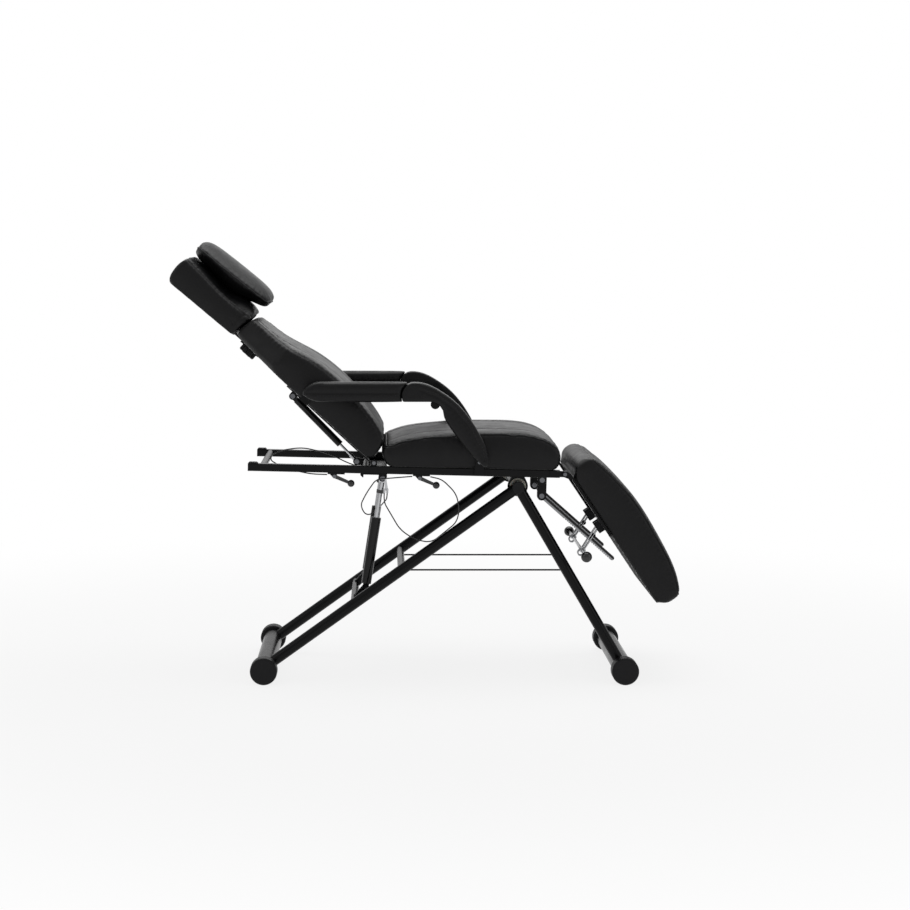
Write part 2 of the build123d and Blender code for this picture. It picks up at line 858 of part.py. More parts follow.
# Cross tube above the tilt axle, with the two lugs that hang over the axle tube
with BuildPart() as tilt_cross:
    with BuildSketch(deck):
        with Locations((0, rail_mid_v)):
            Circle(deck_cross_radius)
    extrude(amount=cross_half, both=True)
    for side in sides:
        with BuildSketch(across(deck, side * tilt_lug_y)):
            Circle(tilt_lug_radius)
            with Locations((0, rail_mid_v)):
                Circle(rail_height / 2)
            make_hull()
            Circle(apex_radius + tilt_bush_wall, mode=Mode.SUBTRACT)
        extrude(amount=tilt_lug_thick / 2, both=True)
    with BuildSketch(deck):
        with Locations((0, rail_mid_v)):
            Circle(deck_cross_radius - tube_wall)
    extrude(amount=cross_half, both=True, mode=Mode.SUBTRACT)
save(tilt_cross.part, "deck_cross_tilt")

# Tilt bushes: flanged nylon rings between the lugs and the axle tube
with BuildPart() as tilt_bushes:
    for side in sides:
        with BuildSketch(across(deck, side * tilt_lug_y)):
            Circle(apex_radius + tilt_bush_wall - weld_gap / 2)
        extrude(amount=tilt_lug_thick / 2 + tilt_bush_wall, both=True)
        for face in sides:
            rim = side * tilt_lug_y + face * (tilt_lug_thick + tilt_bush_wall) / 2
            with BuildSketch(across(deck, rim + face * weld_gap)):
                Circle(apex_radius + tilt_bush_wall * 2)
            extrude(amount=tilt_bush_wall / 2 - weld_gap, both=True)
        with BuildSketch(across(deck, side * tilt_lug_y)):
            Circle(apex_radius + running_fit)
        extrude(amount=tilt_lug_thick * 2, both=True, mode=Mode.SUBTRACT)
save(tilt_bushes.part, "tilt_bushes")


# Bolts on both sides of the chair: a round shank, a tapered head outside, and one inside
# where there is room for it
def side_bolts(place, inner_y, outer_y, inner_head=True):
    with BuildPart() as bolts:
        for side in sides:
            seat = Plane(origin=(place.X, side * inner_y, place.Z), z_dir=(0, side, 0))
            with BuildSketch(seat):
                Circle(hinge_pin_radius)
            extrude(amount=outer_y - inner_y)
            with BuildSketch(seat.offset(outer_y - inner_y)):
                Circle(hinge_head_radius)
            extrude(amount=hinge_head_thick, taper=head_taper)
            if inner_head:
                with BuildSketch(seat):
                    Circle(hinge_head_radius)
                extrude(amount=-hinge_head_thick)
    return bolts.part


lug_half = hinge_lug_thick / 2
rail_out_y = rail_y + rail_width / 2
leg_eye_y = rail_out_y + hinge_lug_thick + leg_eye_gap + lug_half
back_inner = back_hinge_y - lug_half - running_fit
back_outer = deck_lug_y + lug_half + running_fit
with BuildPart() as hinge_bolts:
    add(side_bolts(back.origin, back_inner, back_outer))
    add(side_bolts(leg.origin, rail_out_y - running_fit, leg_eye_y + lug_half + running_fit))
save(hinge_bolts.part, "hinge_bolts")

# Back frame: straps with hinge eyes under the board, a cross plate that carries the cheeks of
# the back's gas spring, and outriggers that hold the arms
strap_n = back_seat_n - strap_thick / 2
arm_rear_s = back.to_local_coords(arm_rear).X
arm_rear_n = back.to_local_coords(arm_rear).Y
with BuildPart() as back_frame:
    for side in sides:
        with BuildSketch(across(back, side * strap_y)):
            with Locations(((back_strap_end + hinge_lug_radius) / 2, strap_n)):
                Rectangle(back_strap_end - hinge_lug_radius, strap_thick - weld_gap)
        extrude(amount=strap_width / 2, both=True)
        with BuildSketch(across(back, side * back_hinge_y)):
            Circle(hinge_lug_radius)
            with Locations((hinge_lug_radius, strap_n)):
                Rectangle(hinge_lug_radius * 2, strap_thick - weld_gap)
            Circle(hinge_pin_radius + running_fit, mode=Mode.SUBTRACT)
        extrude(amount=lug_half, both=True)
        with BuildSketch(across(back, side * arm_bracket_y)):
            with Locations((arm_rear_s, arm_rear_n)):
                Circle(arm_bar_half)
            with Locations((arm_rear_s, strap_n)):
                Rectangle(arm_bracket_width, strap_thick - weld_gap)
            make_hull()
            with Locations((arm_rear_s, arm_rear_n)):
                Circle(arm_pin_radius + weld_gap, mode=Mode.SUBTRACT)
        extrude(amount=arm_bracket_thick / 2, both=True)
        with BuildSketch(across(back, side * (strap_y + arm_bracket_y) / 2)):
            with Locations((arm_rear_s, strap_n)):
                Rectangle(arm_bracket_width, strap_thick - weld_gap)
        extrude(amount=(arm_bracket_y - strap_y + arm_bracket_thick) / 2, both=True)
    with BuildSketch(back):
        with Locations((spring_top_s, strap_n)):
            Rectangle(strap_width * 2, strap_thick - weld_gap)
    extrude(amount=strap_y, both=True)
    for cheek in sides:
        with BuildSketch(across(back, cheek * cheek_y)):
            with Locations((spring_top_s, spring_top_n)):
                Circle(clevis_radius)
            with Locations((spring_top_s, (spring_top_n + strap_n) / 2)):
                Rectangle(clevis_radius * 2, strap_n - spring_top_n)
            with Locations((spring_top_s, spring_top_n)):
                Circle(eye_pin_radius + weld_gap, mode=Mode.SUBTRACT)
        extrude(amount=clevis_thick / 2, both=True)
save(back_frame.part, "back_frame")
save(
    clevis_pins(spring_top, (0,), eye_pin_radius, pin_head_radius, clevis_half),
    "back_spring_upper_pin",
)
save(
    side_bolts(
        arm_rear,
        arm_bracket_y - arm_bracket_thick / 2,
        arm_pad_bar_y + arm_bar_thick / 2 + running_fit,
        inner_head=False,
    ),
    "arm_rear_bolts",
)

# Back gas spring: a black tube hung from the back, and its bright rod held on the deck
with BuildPart() as spring_tube:
    with BuildSketch(spring_down):
        with BuildLine():
            bore = spring_tube_radius - spring_tube_wall
            Polyline(
                (spring_tube_start, 0),
                (spring_tube_start, spring_tube_radius),
                (spring_tube_end, spring_tube_radius),
                (spring_tube_end, spring_mouth),
                (spring_tube_end - spring_mouth_thick, spring_mouth),
                (spring_tube_end - spring_mouth_thick, bore),
                (spring_bore_start, bore),
                (spring_bore_start, 0),
                close=True,
            )
        make_face()
    revolve(axis=Axis(spring_down.origin, spring_down.x_dir))
    with BuildSketch(spring_down):
        Circle(spring_eye_radius)
        with Locations((spring_tube_start / 2, 0)):
            Rectangle(spring_tube_start, spring_eye_radius * 2)
    extrude(amount=eye_thick / 2, both=True)
    with BuildSketch(spring_down):
        Circle(eye_pin_radius + running_fit)
    extrude(amount=eye_thick, both=True, mode=Mode.SUBTRACT)
save(spring_tube.part, "back_spring_tube")

with BuildPart() as spring_rod:
    with BuildSketch(spring_up):
        with BuildLine():
            Polyline(
                (eye_pin_radius, 0),
                (eye_pin_radius, spring_head_radius),
                (spring_head_end, spring_head_radius),
                (spring_head_end, spring_rod_radius),
                (spring_rod_end, spring_rod_radius),
                (spring_rod_end, 0),
                close=True,
            )
        make_face()
    revolve(axis=Axis(spring_up.origin, spring_up.x_dir))
    with BuildSketch(spring_up):
        Circle(spring_eye_radius)
    extrude(amount=eye_thick / 2, both=True)
    with BuildSketch(spring_up):
        Circle(eye_pin_radius + running_fit)
    extrude(amount=eye_thick, both=True, mode=Mode.SUBTRACT)
save(spring_rod.part, "back_spring_rod")


# Boards under the cushions: rounded rectangles, or the back's tapered shape
def plan_shape(plane, up, start, end, half, corner, shoulder=None):
    """Outline of a board or cushion seen from above, at this height over its own plane."""
    flat = Plane(origin=point(plane, 0, up), x_dir=plane.x_dir, z_dir=plane.y_dir)
    with BuildSketch(flat) as shape:
        if shoulder is None:
            with Locations(((start + end) / 2, 0)):
                RectangleRounded(end - start, half * 2, corner)
        else:
            shoulder_s, end_half = shoulder
            with BuildLine():
                FilletPolyline(
                    (start, -half),
                    (shoulder_s, -half),
                    (end, -end_half),
                    (end, end_half),
                    (shoulder_s, half),
                    (start, half),
                    radius=corner,
                    close=True,
                )
            make_face()
    return shape.sketch


def board(plane, low, thick, start, end, half, corner, shoulder=None):
    outline = plan_shape(plane, low, start, end, half, corner, shoulder)
    with BuildPart() as panel:
        extrude(outline, amount=thick)
    return panel.part


# Upholstered block: closed sections lofted along its length, each with a flat bottom, sides
# that bulge between drawn-in seams and a top of three crowned panels, then trimmed to the
# rounded ends seen from the side and to the outline seen from above
def cushion(plane, low, stations, half, crown, corner, start_arc, end_arc, shoulder=None):
    ends = [place[0] for place in start_arc + end_arc]
    outline = plan_shape(
        plane, low - cut_over, min(ends), max(ends), half + side_tuck, corner, shoulder
    )
    with BuildPart() as body:
        for s, seam in stations:
            side_on = Vector(0, 1, 0).cross(plane.y_dir)
            with BuildSketch(Plane(origin=point(plane, s, 0), x_dir=(0, 1, 0), z_dir=side_on)):
                with BuildLine():
                    top = half - side_tuck
                    split = half * panel_share
                    valley = seam + crown - panel_valley
                    swell = (half + split) / 2
                    Line((-top, low), (top, low))
                    ThreePointArc((top, low), (half, (low + seam) / 2), (top, seam))
                    ThreePointArc((top, seam), (swell, seam + crown * swell_share), (split, valley))
                    ThreePointArc((split, valley), (0, seam + crown), (-split, valley))
                    ThreePointArc((-split, valley), (-swell, seam + crown * swell_share), (-top, seam))
                    ThreePointArc((-top, seam), (-half, (low + seam) / 2), (-top, low))
                make_face()
        loft()
        high = max(seam for s, seam in stations) + crown * 2
        with BuildSketch(plane):
            with BuildLine():
                ThreePointArc(*start_arc)
                Line(start_arc[2], (start_arc[2][0], high))
                Line((start_arc[2][0], high), (end_arc[2][0], high))
                Line((end_arc[2][0], high), end_arc[2])
                ThreePointArc(*end_arc)
                Line(end_arc[0], start_arc[0])
            make_face()
        extrude(amount=half + cut_over, both=True, mode=Mode.INTERSECT)
        extrude(outline, amount=high - low + cut_over * 2, mode=Mode.INTERSECT)
    return body.part


save(
    board(
        deck,
        rail_top_v + weld_gap,
        board_thick,
        seat_start + board_inset,
        seat_end - board_inset,
        seat_half - board_inset,
        board_corner,
    ),
    "seat_board",
)
seat_low = rail_top_v + board_thick + soft_gap
save(
    cushion(
        deck,
        seat_low,
        seat_stations,
        seat_half,
        seat_crown,
        cushion_corner,
        ((seat_start, seat_low), (seat_rear_bulge_u, seat_rear_bulge_v), seat_rear_top),
        ((seat_end, seat_low), (seat_front_bulge_u, seat_front_bulge_v), seat_front_top),
    ),
    "seat_cushion",
)

save(
    board(
        back,
        back_seat_n,
        board_thick,
        back_start + board_inset,
        back_end - board_inset,
        back_half - board_inset,
        board_corner,
        (shoulder_start - board_inset, shoulder_half - board_inset),
    ),
    "back_board",
)
back_low = back_seat_n + board_thick + soft_gap
save(
    cushion(
        back,
        back_low,
        back_stations,
        back_half,
        back_crown,
        cushion_corner,
        ((back_start, back_low), back_low_bulge, back_low_top),
        ((back_end, back_low), back_high_bulge, back_high_top),
        (shoulder_start, shoulder_half),
    ),
    "back_cushion",
)

# Head rest: a flat steel post bent under the head board, and the sleeve that guides it
with BuildPart() as sleeve:
    middle_n = post_n + post_thick / 2
    with BuildSketch(Plane(origin=point(back, sleeve_start_s, middle_n), x_dir=(0, 1, 0), z_dir=back.x_dir)):
        Rectangle(post_width + sleeve_wall * 2, post_thick + sleeve_wall * 2)
        Rectangle(
            post_width + running_fit * 2, post_thick + running_fit * 2, mode=Mode.SUBTRACT
        )
    extrude(amount=sleeve_end_s - sleeve_start_s)
    with BuildSketch(Plane(origin=point(back, knob_s, post_n), z_dir=back.y_dir)):
        Circle(knob_stud_radius + running_fit)
    extrude(amount=-sleeve_wall * 2, mode=Mode.SUBTRACT)
save(sleeve.part, "head_sleeve")

with BuildPart() as post:
    tip_top = back.to_local_coords(point(head, post_end_h, -soft_gap))
    tip_low = back.to_local_coords(point(head, post_end_h, -soft_gap - post_thick))
    with BuildSketch(back):
        with BuildLine():
            Polyline(
                (post_start_s, post_n),
                (post_bend_s, post_n),
                (tip_low.X, tip_low.Y),
                (tip_top.X, tip_top.Y),
                (post_bend_s, post_n + post_thick),
                (post_start_s, post_n + post_thick),
                close=True,
            )
        make_face()
    extrude(amount=post_width / 2, both=True)
save(post.part, "head_post")

save(
    board(
        head,
        0,
        head_board_thick,
        board_inset,
        head_length - board_inset,
        head_half - board_inset,
        board_corner,
    ),
    "head_board",
)
head_low = head_board_thick + soft_gap
save(
    cushion(
        head,
        head_low,
        head_stations,
        head_half,
        head_crown,
        head_corner,
        ((head_start_h, head_low), head_low_bulge, head_low_top),
        ((head_end_h, head_low), head_high_bulge, head_high_top),
    ),
    "head_cushion",
)

# Head pillow: a stuffed cushion of lens-shaped sections, sewn along its edge
with BuildPart() as pillow:
    for h, half, top, bottom in pillow_stations:
        side_on = Vector(0, 1, 0).cross(head.y_dir)
        with BuildSketch(Plane(origin=point(head, h, pillow_m), x_dir=(0, 1, 0), z_dir=side_on)):
            with BuildLine():
                ThreePointArc((-half, 0), (0, top), (half, 0))
                ThreePointArc((half, 0), (0, -bottom), (-half, 0))
            make_face()
    loft()
save(pillow.part, "head_pillow")

# Star knob that clamps the post in its sleeve
with BuildPart() as knob:
    knob_face = Plane(origin=point(back, knob_s, knob_top_n), x_dir=(0, 1, 0), z_dir=-back.y_dir)
    with BuildSketch(knob_face):
        Circle(knob_radius - knob_lobe_radius)
        with PolarLocations(knob_radius - knob_lobe_radius, knob_lobe_count):
            Circle(knob_lobe_radius)
    extrude(amount=knob_thick)
    chamfer(knob.faces().sort_by(Axis(knob_face.origin, knob_face.z_dir))[-1].edges(), knob_edge)
    with BuildSketch(knob_face):
        Circle(knob_stud_radius)
    extrude(amount=-(post_n - soft_gap - knob_top_n))
save(knob.part, "head_knob")


# Arms: the front brackets on the rails, with a spacer boss, and their bolts
front_u = deck.to_local_coords(arm_front).X
front_v = deck.to_local_coords(arm_front).Y
with BuildPart() as front_brackets:
    for side in sides:
        with BuildSketch(across(deck, side * arm_bracket_y)):
            with Locations((front_u, front_v)):
                Circle(arm_bar_half)
            with Locations((front_u, rail_mid_v)):
                Rectangle(arm_bracket_width, arm_bracket_foot)
            make_hull()
        extrude(amount=arm_bracket_thick / 2, both=True)
        block_start = rail_out_y + weld_gap
        block_end = arm_bracket_y
        with BuildSketch(across(deck, side * (block_start + block_end) / 2)):
            with Locations((front_u, rail_mid_v)):
                Rectangle(arm_bracket_width, arm_bracket_foot)
        extrude(amount=(block_end - block_start) / 2, both=True)
        boss_start = arm_bracket_y
        boss_end = arm_strut_bar_y - arm_bar_thick / 2 - arm_bar_gap
        with BuildSketch(across(deck, side * (boss_start + boss_end) / 2)):
            with Locations((front_u, front_v)):
                Circle(hinge_head_radius)
        extrude(amount=(boss_end - boss_start) / 2, both=True)
        with BuildSketch(across(deck, side * arm_bracket_y)):
            with Locations((front_u, front_v)):
                Circle(arm_pin_radius + weld_gap)
        extrude(amount=arm_width, both=True, mode=Mode.SUBTRACT)
save(front_brackets.part, "arm_front_brackets")
save(
    side_bolts(
        arm_front,
        arm_bracket_y - arm_bracket_thick / 2,
        arm_in_y + running_fit,
        inner_head=False,
    ),
    "arm_front_bolts",
)

# Arm bars: flat bars from the back's pivots to the elbows, with short standoffs to the pads
with BuildPart() as arm_bars:
    for side in sides:
        with BuildSketch(across(ground, side * arm_pad_bar_y)):
            with Locations((arm_rear.X, arm_rear.Z), (arm_elbow.X, arm_elbow.Z)):
                Circle(arm_bar_half)
            make_hull()
            with Locations((arm_rear.X, arm_rear.Z)):
                Circle(arm_pin_radius + running_fit, mode=Mode.SUBTRACT)
            with Locations((arm_elbow.X, arm_elbow.Z)):
                Circle(arm_pin_radius + weld_gap, mode=Mode.SUBTRACT)
        extrude(amount=arm_bar_thick / 2, both=True)
        with BuildSketch(across(ground, side * arm_pad_bar_y)):
            for share in arm_standoff_shares:
                spot = arm_rear + (arm_elbow - arm_rear) * share
                with Locations((spot.X, spot.Z)):
                    Circle(hinge_head_radius)
        extrude(amount=-side * (arm_in_y - weld_gap - arm_pad_bar_y))
save(arm_bars.part, "arm_bars")

with BuildPart() as elbow_pins:
    for side in sides:
        inner = arm_pad_bar_y - arm_bar_thick / 2 - running_fit
        outer = arm_in_y + running_fit
        seat = Plane(origin=(arm_elbow.X, side * inner, arm_elbow.Z), z_dir=(0, side, 0))
        with BuildSketch(seat):
            Circle(arm_pin_radius)
        extrude(amount=outer - inner)
        with BuildSketch(seat):
            Circle(hinge_head_radius)
        extrude(amount=-hinge_head_thick)
        with BuildSketch(seat.offset(outer - inner)):
            Circle(hinge_head_radius)
        extrude(amount=hinge_head_thick)
save(elbow_pins.part, "arm_elbow_pins")

# Arm pads: upholstered flat arms with a rounded nose and a hollow end round the elbow, cut
# back at the top where the strut's crest turns in
with BuildPart() as arm_pads:
    for side in sides:
        with BuildSketch(across(ground, side * (arm_in_y + arm_width / 2))):
            with BuildLine():
                ThreePointArc(*arm_nose_low)
                ThreePointArc(*arm_nose_high)
                Polyline(
                    arm_nose_high[2],
                    (arm_elbow.X, arm_top_z),
                    (arm_elbow.X, arm_low_z),
                    arm_nose_low[0],
                )
            make_face()
            with Locations((arm_elbow.X, arm_elbow.Z)):
                Circle(arm_knuckle + arm_knuckle_gap, mode=Mode.SUBTRACT)
        extrude(amount=arm_width / 2, both=True)
    faces_out = arm_pads.faces().filter_by(Axis.Y)
    fillet(faces_out.edges().filter_by(lambda edge: edge.length > arm_width), arm_round)
    with BuildSketch(ground):
        with BuildLine():
            Polyline(
                (arm_elbow.X - pad_notch_foot[0], arm_elbow.Z + pad_notch_foot[1]),
                (arm_elbow.X - pad_notch_top, arm_top_z),
                (arm_elbow.X - pad_notch_top, arm_top_z + cut_over),
                (arm_elbow.X + cut_over, arm_top_z + cut_over),
                (arm_elbow.X + cut_over, arm_elbow.Z),
                close=True,
            )
        make_face()
    extrude(amount=arm_in_y + arm_width + cut_over, both=True, mode=Mode.SUBTRACT)
save(arm_pads.part, "arm_pads")

# Strut bars: flat bars from the elbows down to the deck, cranked behind the struts' padding
fall_x = arm_front.X - arm_elbow.X
fall_z = arm_front.Z - arm_elbow.Z


def strut_place(share):
    """A place on a bent arm strut, from shares of its reach forward and of its drop."""
    return (arm_elbow.X + share[0] * fall_x, arm_elbow.Z + share[1] * fall_z)


with BuildPart() as strut_bars:
    for side in sides:
        with BuildSketch(across(ground, side * arm_strut_bar_y)):
            with BuildLine() as crank:
                Polyline(*[strut_place(share) for share in strut_bar_shares])
            trace(crank.line, line_width=arm_bar_half * 2)
            with Locations((arm_elbow.X, arm_elbow.Z), (arm_front.X, arm_front.Z)):
                Circle(arm_bar_half)
            with Locations(strut_place(knuckle_share)):
                Circle(arm_knob_radius)
            with Locations((arm_elbow.X, arm_elbow.Z)):
                Circle(arm_pin_radius + running_fit, mode=Mode.SUBTRACT)
            with Locations((arm_front.X, arm_front.Z)):
                Circle(arm_pin_radius + open_fit, mode=Mode.SUBTRACT)
        extrude(amount=arm_bar_thick / 2, both=True)
save(strut_bars.part, "arm_strut_bars")

# Strut pads: the bent padded fronts of the arms, round at the elbow and narrow at the foot
with BuildPart() as strut_pads:
    flat_z = arm_low_z - arm_elbow.Z
    flat_x = -math.sqrt(arm_knuckle**2 - flat_z**2)
    knuckle_turn = Vector(-arm_knuckle, 0, arm_knuckle).normalized() * arm_knuckle + arm_elbow
    for side in sides:
        with BuildSketch(across(ground, side * (arm_in_y + arm_width / 2))):
            with BuildLine():
                crest = (arm_elbow.X, arm_elbow.Z + arm_knuckle)
                ledge = (arm_elbow.X + flat_x, arm_low_z)
                outer = [strut_place(share) for share in strut_outer_shares]
                inner = [strut_place(share) for share in strut_inner_shares]
                toe_way = (outer[-1][0] - outer[-2][0], outer[-1][1] - outer[-2][1])
                Spline(crest, *outer, tangents=((1, 0), toe_way))
                ThreePointArc(outer[-1], strut_place(strut_toe_share), inner[0])
                ThreePointArc(inner[0], inner[1], inner[2])
                ThreePointArc(inner[2], inner[3], (strut_place(strut_crook_share)[0], arm_low_z))
                Line((strut_place(strut_crook_share)[0], arm_low_z), ledge)
                ThreePointArc(ledge, (knuckle_turn.X, knuckle_turn.Z), crest)
            make_face()
        extrude(amount=arm_width / 2, both=True)
        with BuildSketch(across(ground, side * arm_in_y)):
            with Locations((arm_elbow.X, arm_elbow.Z), (arm_front.X, arm_front.Z)):
                Circle(arm_pocket)
        extrude(amount=-side * (hinge_head_thick + open_fit), mode=Mode.SUBTRACT)
    outside = strut_pads.faces().filter_by(Axis.Y)
    far = [face for face in outside if abs(face.center().Y) > arm_in_y + arm_width / 2]
    fillet(ShapeList(far).edges(), strut_round)
save(strut_pads.part, "arm_strut_pads")


# Leg rest: steel frame with hinge eyes and a cross bar, board and cushion
with BuildPart() as leg_frame:
    for side in sides:
        middle_n = leg_strap_n + leg_strap_thick / 2
        with BuildSketch(across(leg, side * leg_strap_y)):
            with Locations(((leg_strap_start + leg_strap_end) / 2, middle_n)):
                Rectangle(leg_strap_end - leg_strap_start, leg_strap_thick - weld_gap)
        extrude(amount=leg_strap_width / 2, both=True)
        with BuildSketch(across(leg, side * leg_eye_y)):
            Circle(leg_eye_radius)
            with Locations((leg_strap_start + leg_eye_radius, middle_n)):
                Rectangle(leg_eye_radius * 2, leg_strap_thick - weld_gap)
            make_hull()
            Circle(hinge_pin_radius + running_fit, mode=Mode.SUBTRACT)
        extrude(amount=lug_half, both=True)
    with BuildSketch(leg):
        with Locations((leg_strap_end - leg_bar_width / 2, leg_board_n - leg_bar_thick / 2)):
            Rectangle(leg_bar_width, leg_bar_thick - weld_gap)
    extrude(amount=leg_strap_y, both=True)
save(leg_frame.part, "leg_frame")
leg_board_end = leg_end - board_inset * 2
leg_board_half = leg_half - board_inset
leg_board = board(
    leg, leg_board_n, leg_board_thick, leg_start, leg_board_end, leg_board_half, board_corner
)
save(leg_board, "leg_board")
leg_low = leg_board_n + leg_board_thick + soft_gap
save(
    cushion(
        leg,
        leg_low,
        leg_stations,
        leg_half,
        leg_crown,
        cushion_corner,
        ((leg_start, leg_low), leg_knee_bulge, leg_knee_top),
        ((leg_end - side_tuck * 2, leg_low), leg_foot_bulge, leg_foot_top),
    ),
    "leg_cushion",
)

# Toothed support bars under the leg rest, hinged on brackets below the deck
with BuildPart() as racks:
    for side in sides:
        with BuildSketch(across(rack, side * rack_y)):
            with Locations((rack_length / 2, 0)):
                Rectangle(rack_length, rack_depth)
            Circle(rack_depth / 2)
            with Locations((rack_length, 0)):
                Circle(rack_depth / 2)
            tooth_count = int((rack_length - rack_tooth_start) / rack_tooth_pitch)
            for tooth in range(tooth_count):
                root = rack_tooth_start + tooth * rack_tooth_pitch
                with BuildLine():
                    Polyline(
                        (root, -rack_depth),
                        (root, -rack_depth / 2 + rack_tooth_depth),
                        (root + rack_tooth_pitch / 2, -rack_depth / 2),
                        (root + rack_tooth_pitch / 2, -rack_depth),
                        close=True,
                    )
                make_face(mode=Mode.SUBTRACT)
            Circle(rack_pin_radius + running_fit, mode=Mode.SUBTRACT)
        extrude(amount=rack_thick / 2, both=True)
save(racks.part, "rack_bars")

rack_plate_y = rack_bracket_gap / 2 + rack_bracket_thick / 2
with BuildPart() as rack_brackets:
    for side in sides:
        for cheek in sides:
            with BuildSketch(across(deck, side * rack_y + cheek * rack_plate_y)):
                with Locations((rack_cross_u, (rack_hinge_v + rail_mid_v) / 2)):
                    Rectangle(rack_bracket_half * 2, rail_mid_v - rack_hinge_v)
                with Locations((rack_cross_u, rack_hinge_v)):
                    Circle(rack_bracket_half)
                with Locations((rack_cross_u, rail_mid_v)):
                    Circle(deck_cross_radius + weld_gap, mode=Mode.SUBTRACT)
                with Locations((rack_cross_u, rack_hinge_v), (rack_cross_u, rack_bracket_bolt_v)):
                    Circle(rack_pin_radius + weld_gap, mode=Mode.SUBTRACT)
            extrude(amount=rack_bracket_thick / 2, both=True)
save(rack_brackets.part, "rack_brackets")

# Latch under the leg rest: housings on the cross bar, arms that hang over the toothed bars,
# rollers that guide the bars, and the sprung release rod with its catches and ball handles
guide_turn = math.radians(leg_drop - rack_angle)
guide_up = Vector(-math.sin(guide_turn), math.cos(guide_turn))
roller = Vector(guide_s, guide_n) + guide_up * (rack_depth / 2 + roller_radius + roller_gap)
catch_nose = Vector(guide_s, guide_n) - guide_up * (rack_depth / 2 + guide_slack + catch_radius)
slide = Vector(math.cos(math.radians(slide_angle)), math.sin(math.radians(slide_angle)))
released = Vector(handle_s, handle_n) + slide * handle_travel
arm_plate_y = guide_arm_gap / 2 + guide_arm_thick / 2
arm_outside = arm_plate_y + guide_arm_thick / 2

with BuildPart() as housings:
    top_n = leg_board_n - leg_bar_thick
    for side in sides:
        with BuildSketch(across(leg, side * rack_y)):
            with Locations((guide_top_s, top_n - housing_depth / 2)):
                RectangleRounded(housing_length, housing_depth, tube_wall)
        extrude(amount=housing_width / 2, both=True)
        with BuildSketch(across(leg, side * rack_y)):
            with Locations((guide_top_s, top_n - housing_roof - housing_depth)):
                Rectangle(housing_length * 2, housing_depth * 2)
        extrude(amount=arm_outside + weld_gap, both=True, mode=Mode.SUBTRACT)
save(housings.part, "latch_housings")

with BuildPart() as latch_arms:
    for side in sides:
        for cheek in sides:
            with BuildSketch(across(leg, side * rack_y + cheek * arm_plate_y)):
                with Locations((guide_top_s, guide_top_n), (guide_low_s, guide_low_n)):
                    Circle(guide_arm_half)
                make_hull()
                with Locations((roller.X, roller.Y)):
                    Circle(roller_pin_radius + weld_gap, mode=Mode.SUBTRACT)
            extrude(amount=guide_arm_thick / 2, both=True)
            with BuildSketch(across(leg, side * rack_y + cheek * arm_plate_y)):
                with Locations((handle_s, handle_n), (released.X, released.Y)):
                    Circle(handle_radius + running_fit)
                make_hull()
            extrude(amount=guide_arm_thick, both=True, mode=Mode.SUBTRACT)
save(latch_arms.part, "latch_arms")

with BuildPart() as rollers:
    for side in sides:
        with BuildSketch(across(leg, side * rack_y)):
            with Locations((roller.X, roller.Y)):
                Circle(roller_radius)
        extrude(amount=guide_arm_gap / 2 - running_fit, both=True)
        with BuildSketch(across(leg, side * rack_y)):
            with Locations((roller.X, roller.Y)):
                Circle(roller_pin_radius)
        extrude(amount=arm_outside, both=True)
save(rollers.part, "latch_rollers")

with BuildPart() as release_rod:
    with BuildSketch(leg):
        with Locations((handle_s, handle_n)):
            Circle(handle_radius)
    extrude(amount=handle_half - ball_radius / 2, both=True)
    for side in sides:
        with BuildSketch(across(leg, side * rack_y)):
            with Locations((handle_s, handle_n)):
                Circle(handle_radius + tube_wall)
            with Locations((catch_nose.X, catch_nose.Y)):
                Circle(catch_radius)
            make_hull()
        extrude(amount=catch_half, both=True)
save(release_rod.part, "release_rod")

with BuildPart() as balls:
    for side in sides:
        with Locations(point(leg, handle_s, handle_n, side * handle_half)):
            Sphere(ball_radius)
    with BuildSketch(leg):
        with Locations((handle_s, handle_n)):
            Circle(handle_radius + weld_gap)
    extrude(amount=handle_half - ball_radius / 2 + weld_gap, both=True, mode=Mode.SUBTRACT)
save(balls.part, "release_balls")


# Hand levers under the right rail: mounts with a plate and two cheeks each, and the levers
with BuildPart() as lever_mounts:
    for lever_u in (lever_back_u, lever_tilt_u):
        plate_v = rail_bottom_v - weld_gap - lever_plate_thick / 2
        with BuildSketch(across(deck, lever_y)):
            with Locations((lever_u + (lever_plate_after - lever_plate_before) / 2, plate_v)):
                Rectangle(lever_plate_after + lever_plate_before, lever_plate_thick)
        extrude(amount=lever_plate_width / 2, both=True)
        for cheek in sides:
            with BuildSketch(across(deck, lever_y + cheek * (lever_cheek_gap + lever_cheek_thick) / 2)):
                with Locations((lever_u, lever_v)):
                    Circle(lever_root_radius)
                with Locations((lever_u - lever_cheek_thick, plate_v)):
                    Rectangle(lever_cheek_before, lever_plate_thick)
                make_hull()
                with Locations((lever_u, lever_v)):
                    Circle(lever_pin_radius + weld_gap, mode=Mode.SUBTRACT)
            extrude(amount=lever_cheek_thick / 2, both=True)
save(lever_mounts.part, "lever_mounts")


def hand_lever(lever_u):
    with BuildPart() as lever:
        with BuildSketch(across(deck, lever_y)):
            with Locations((lever_u, lever_v)):
                Circle(lever_root_radius)
            with Locations((lever_u + lever_reach, lever_v - lever_fall)):
                Circle(lever_thick / 2)
            make_hull()
            with Locations((lever_u, lever_v)):
                Circle(lever_pin_radius + running_fit, mode=Mode.SUBTRACT)
        extrude(amount=lever_thick / 2, both=True)
        with Locations(point(deck, lever_u + lever_reach, lever_v - lever_fall, lever_y)):
            Sphere(lever_ball_radius)
    return lever.part


save(hand_lever(lever_back_u), "back_lever")
save(hand_lever(lever_tilt_u), "tilt_lever")

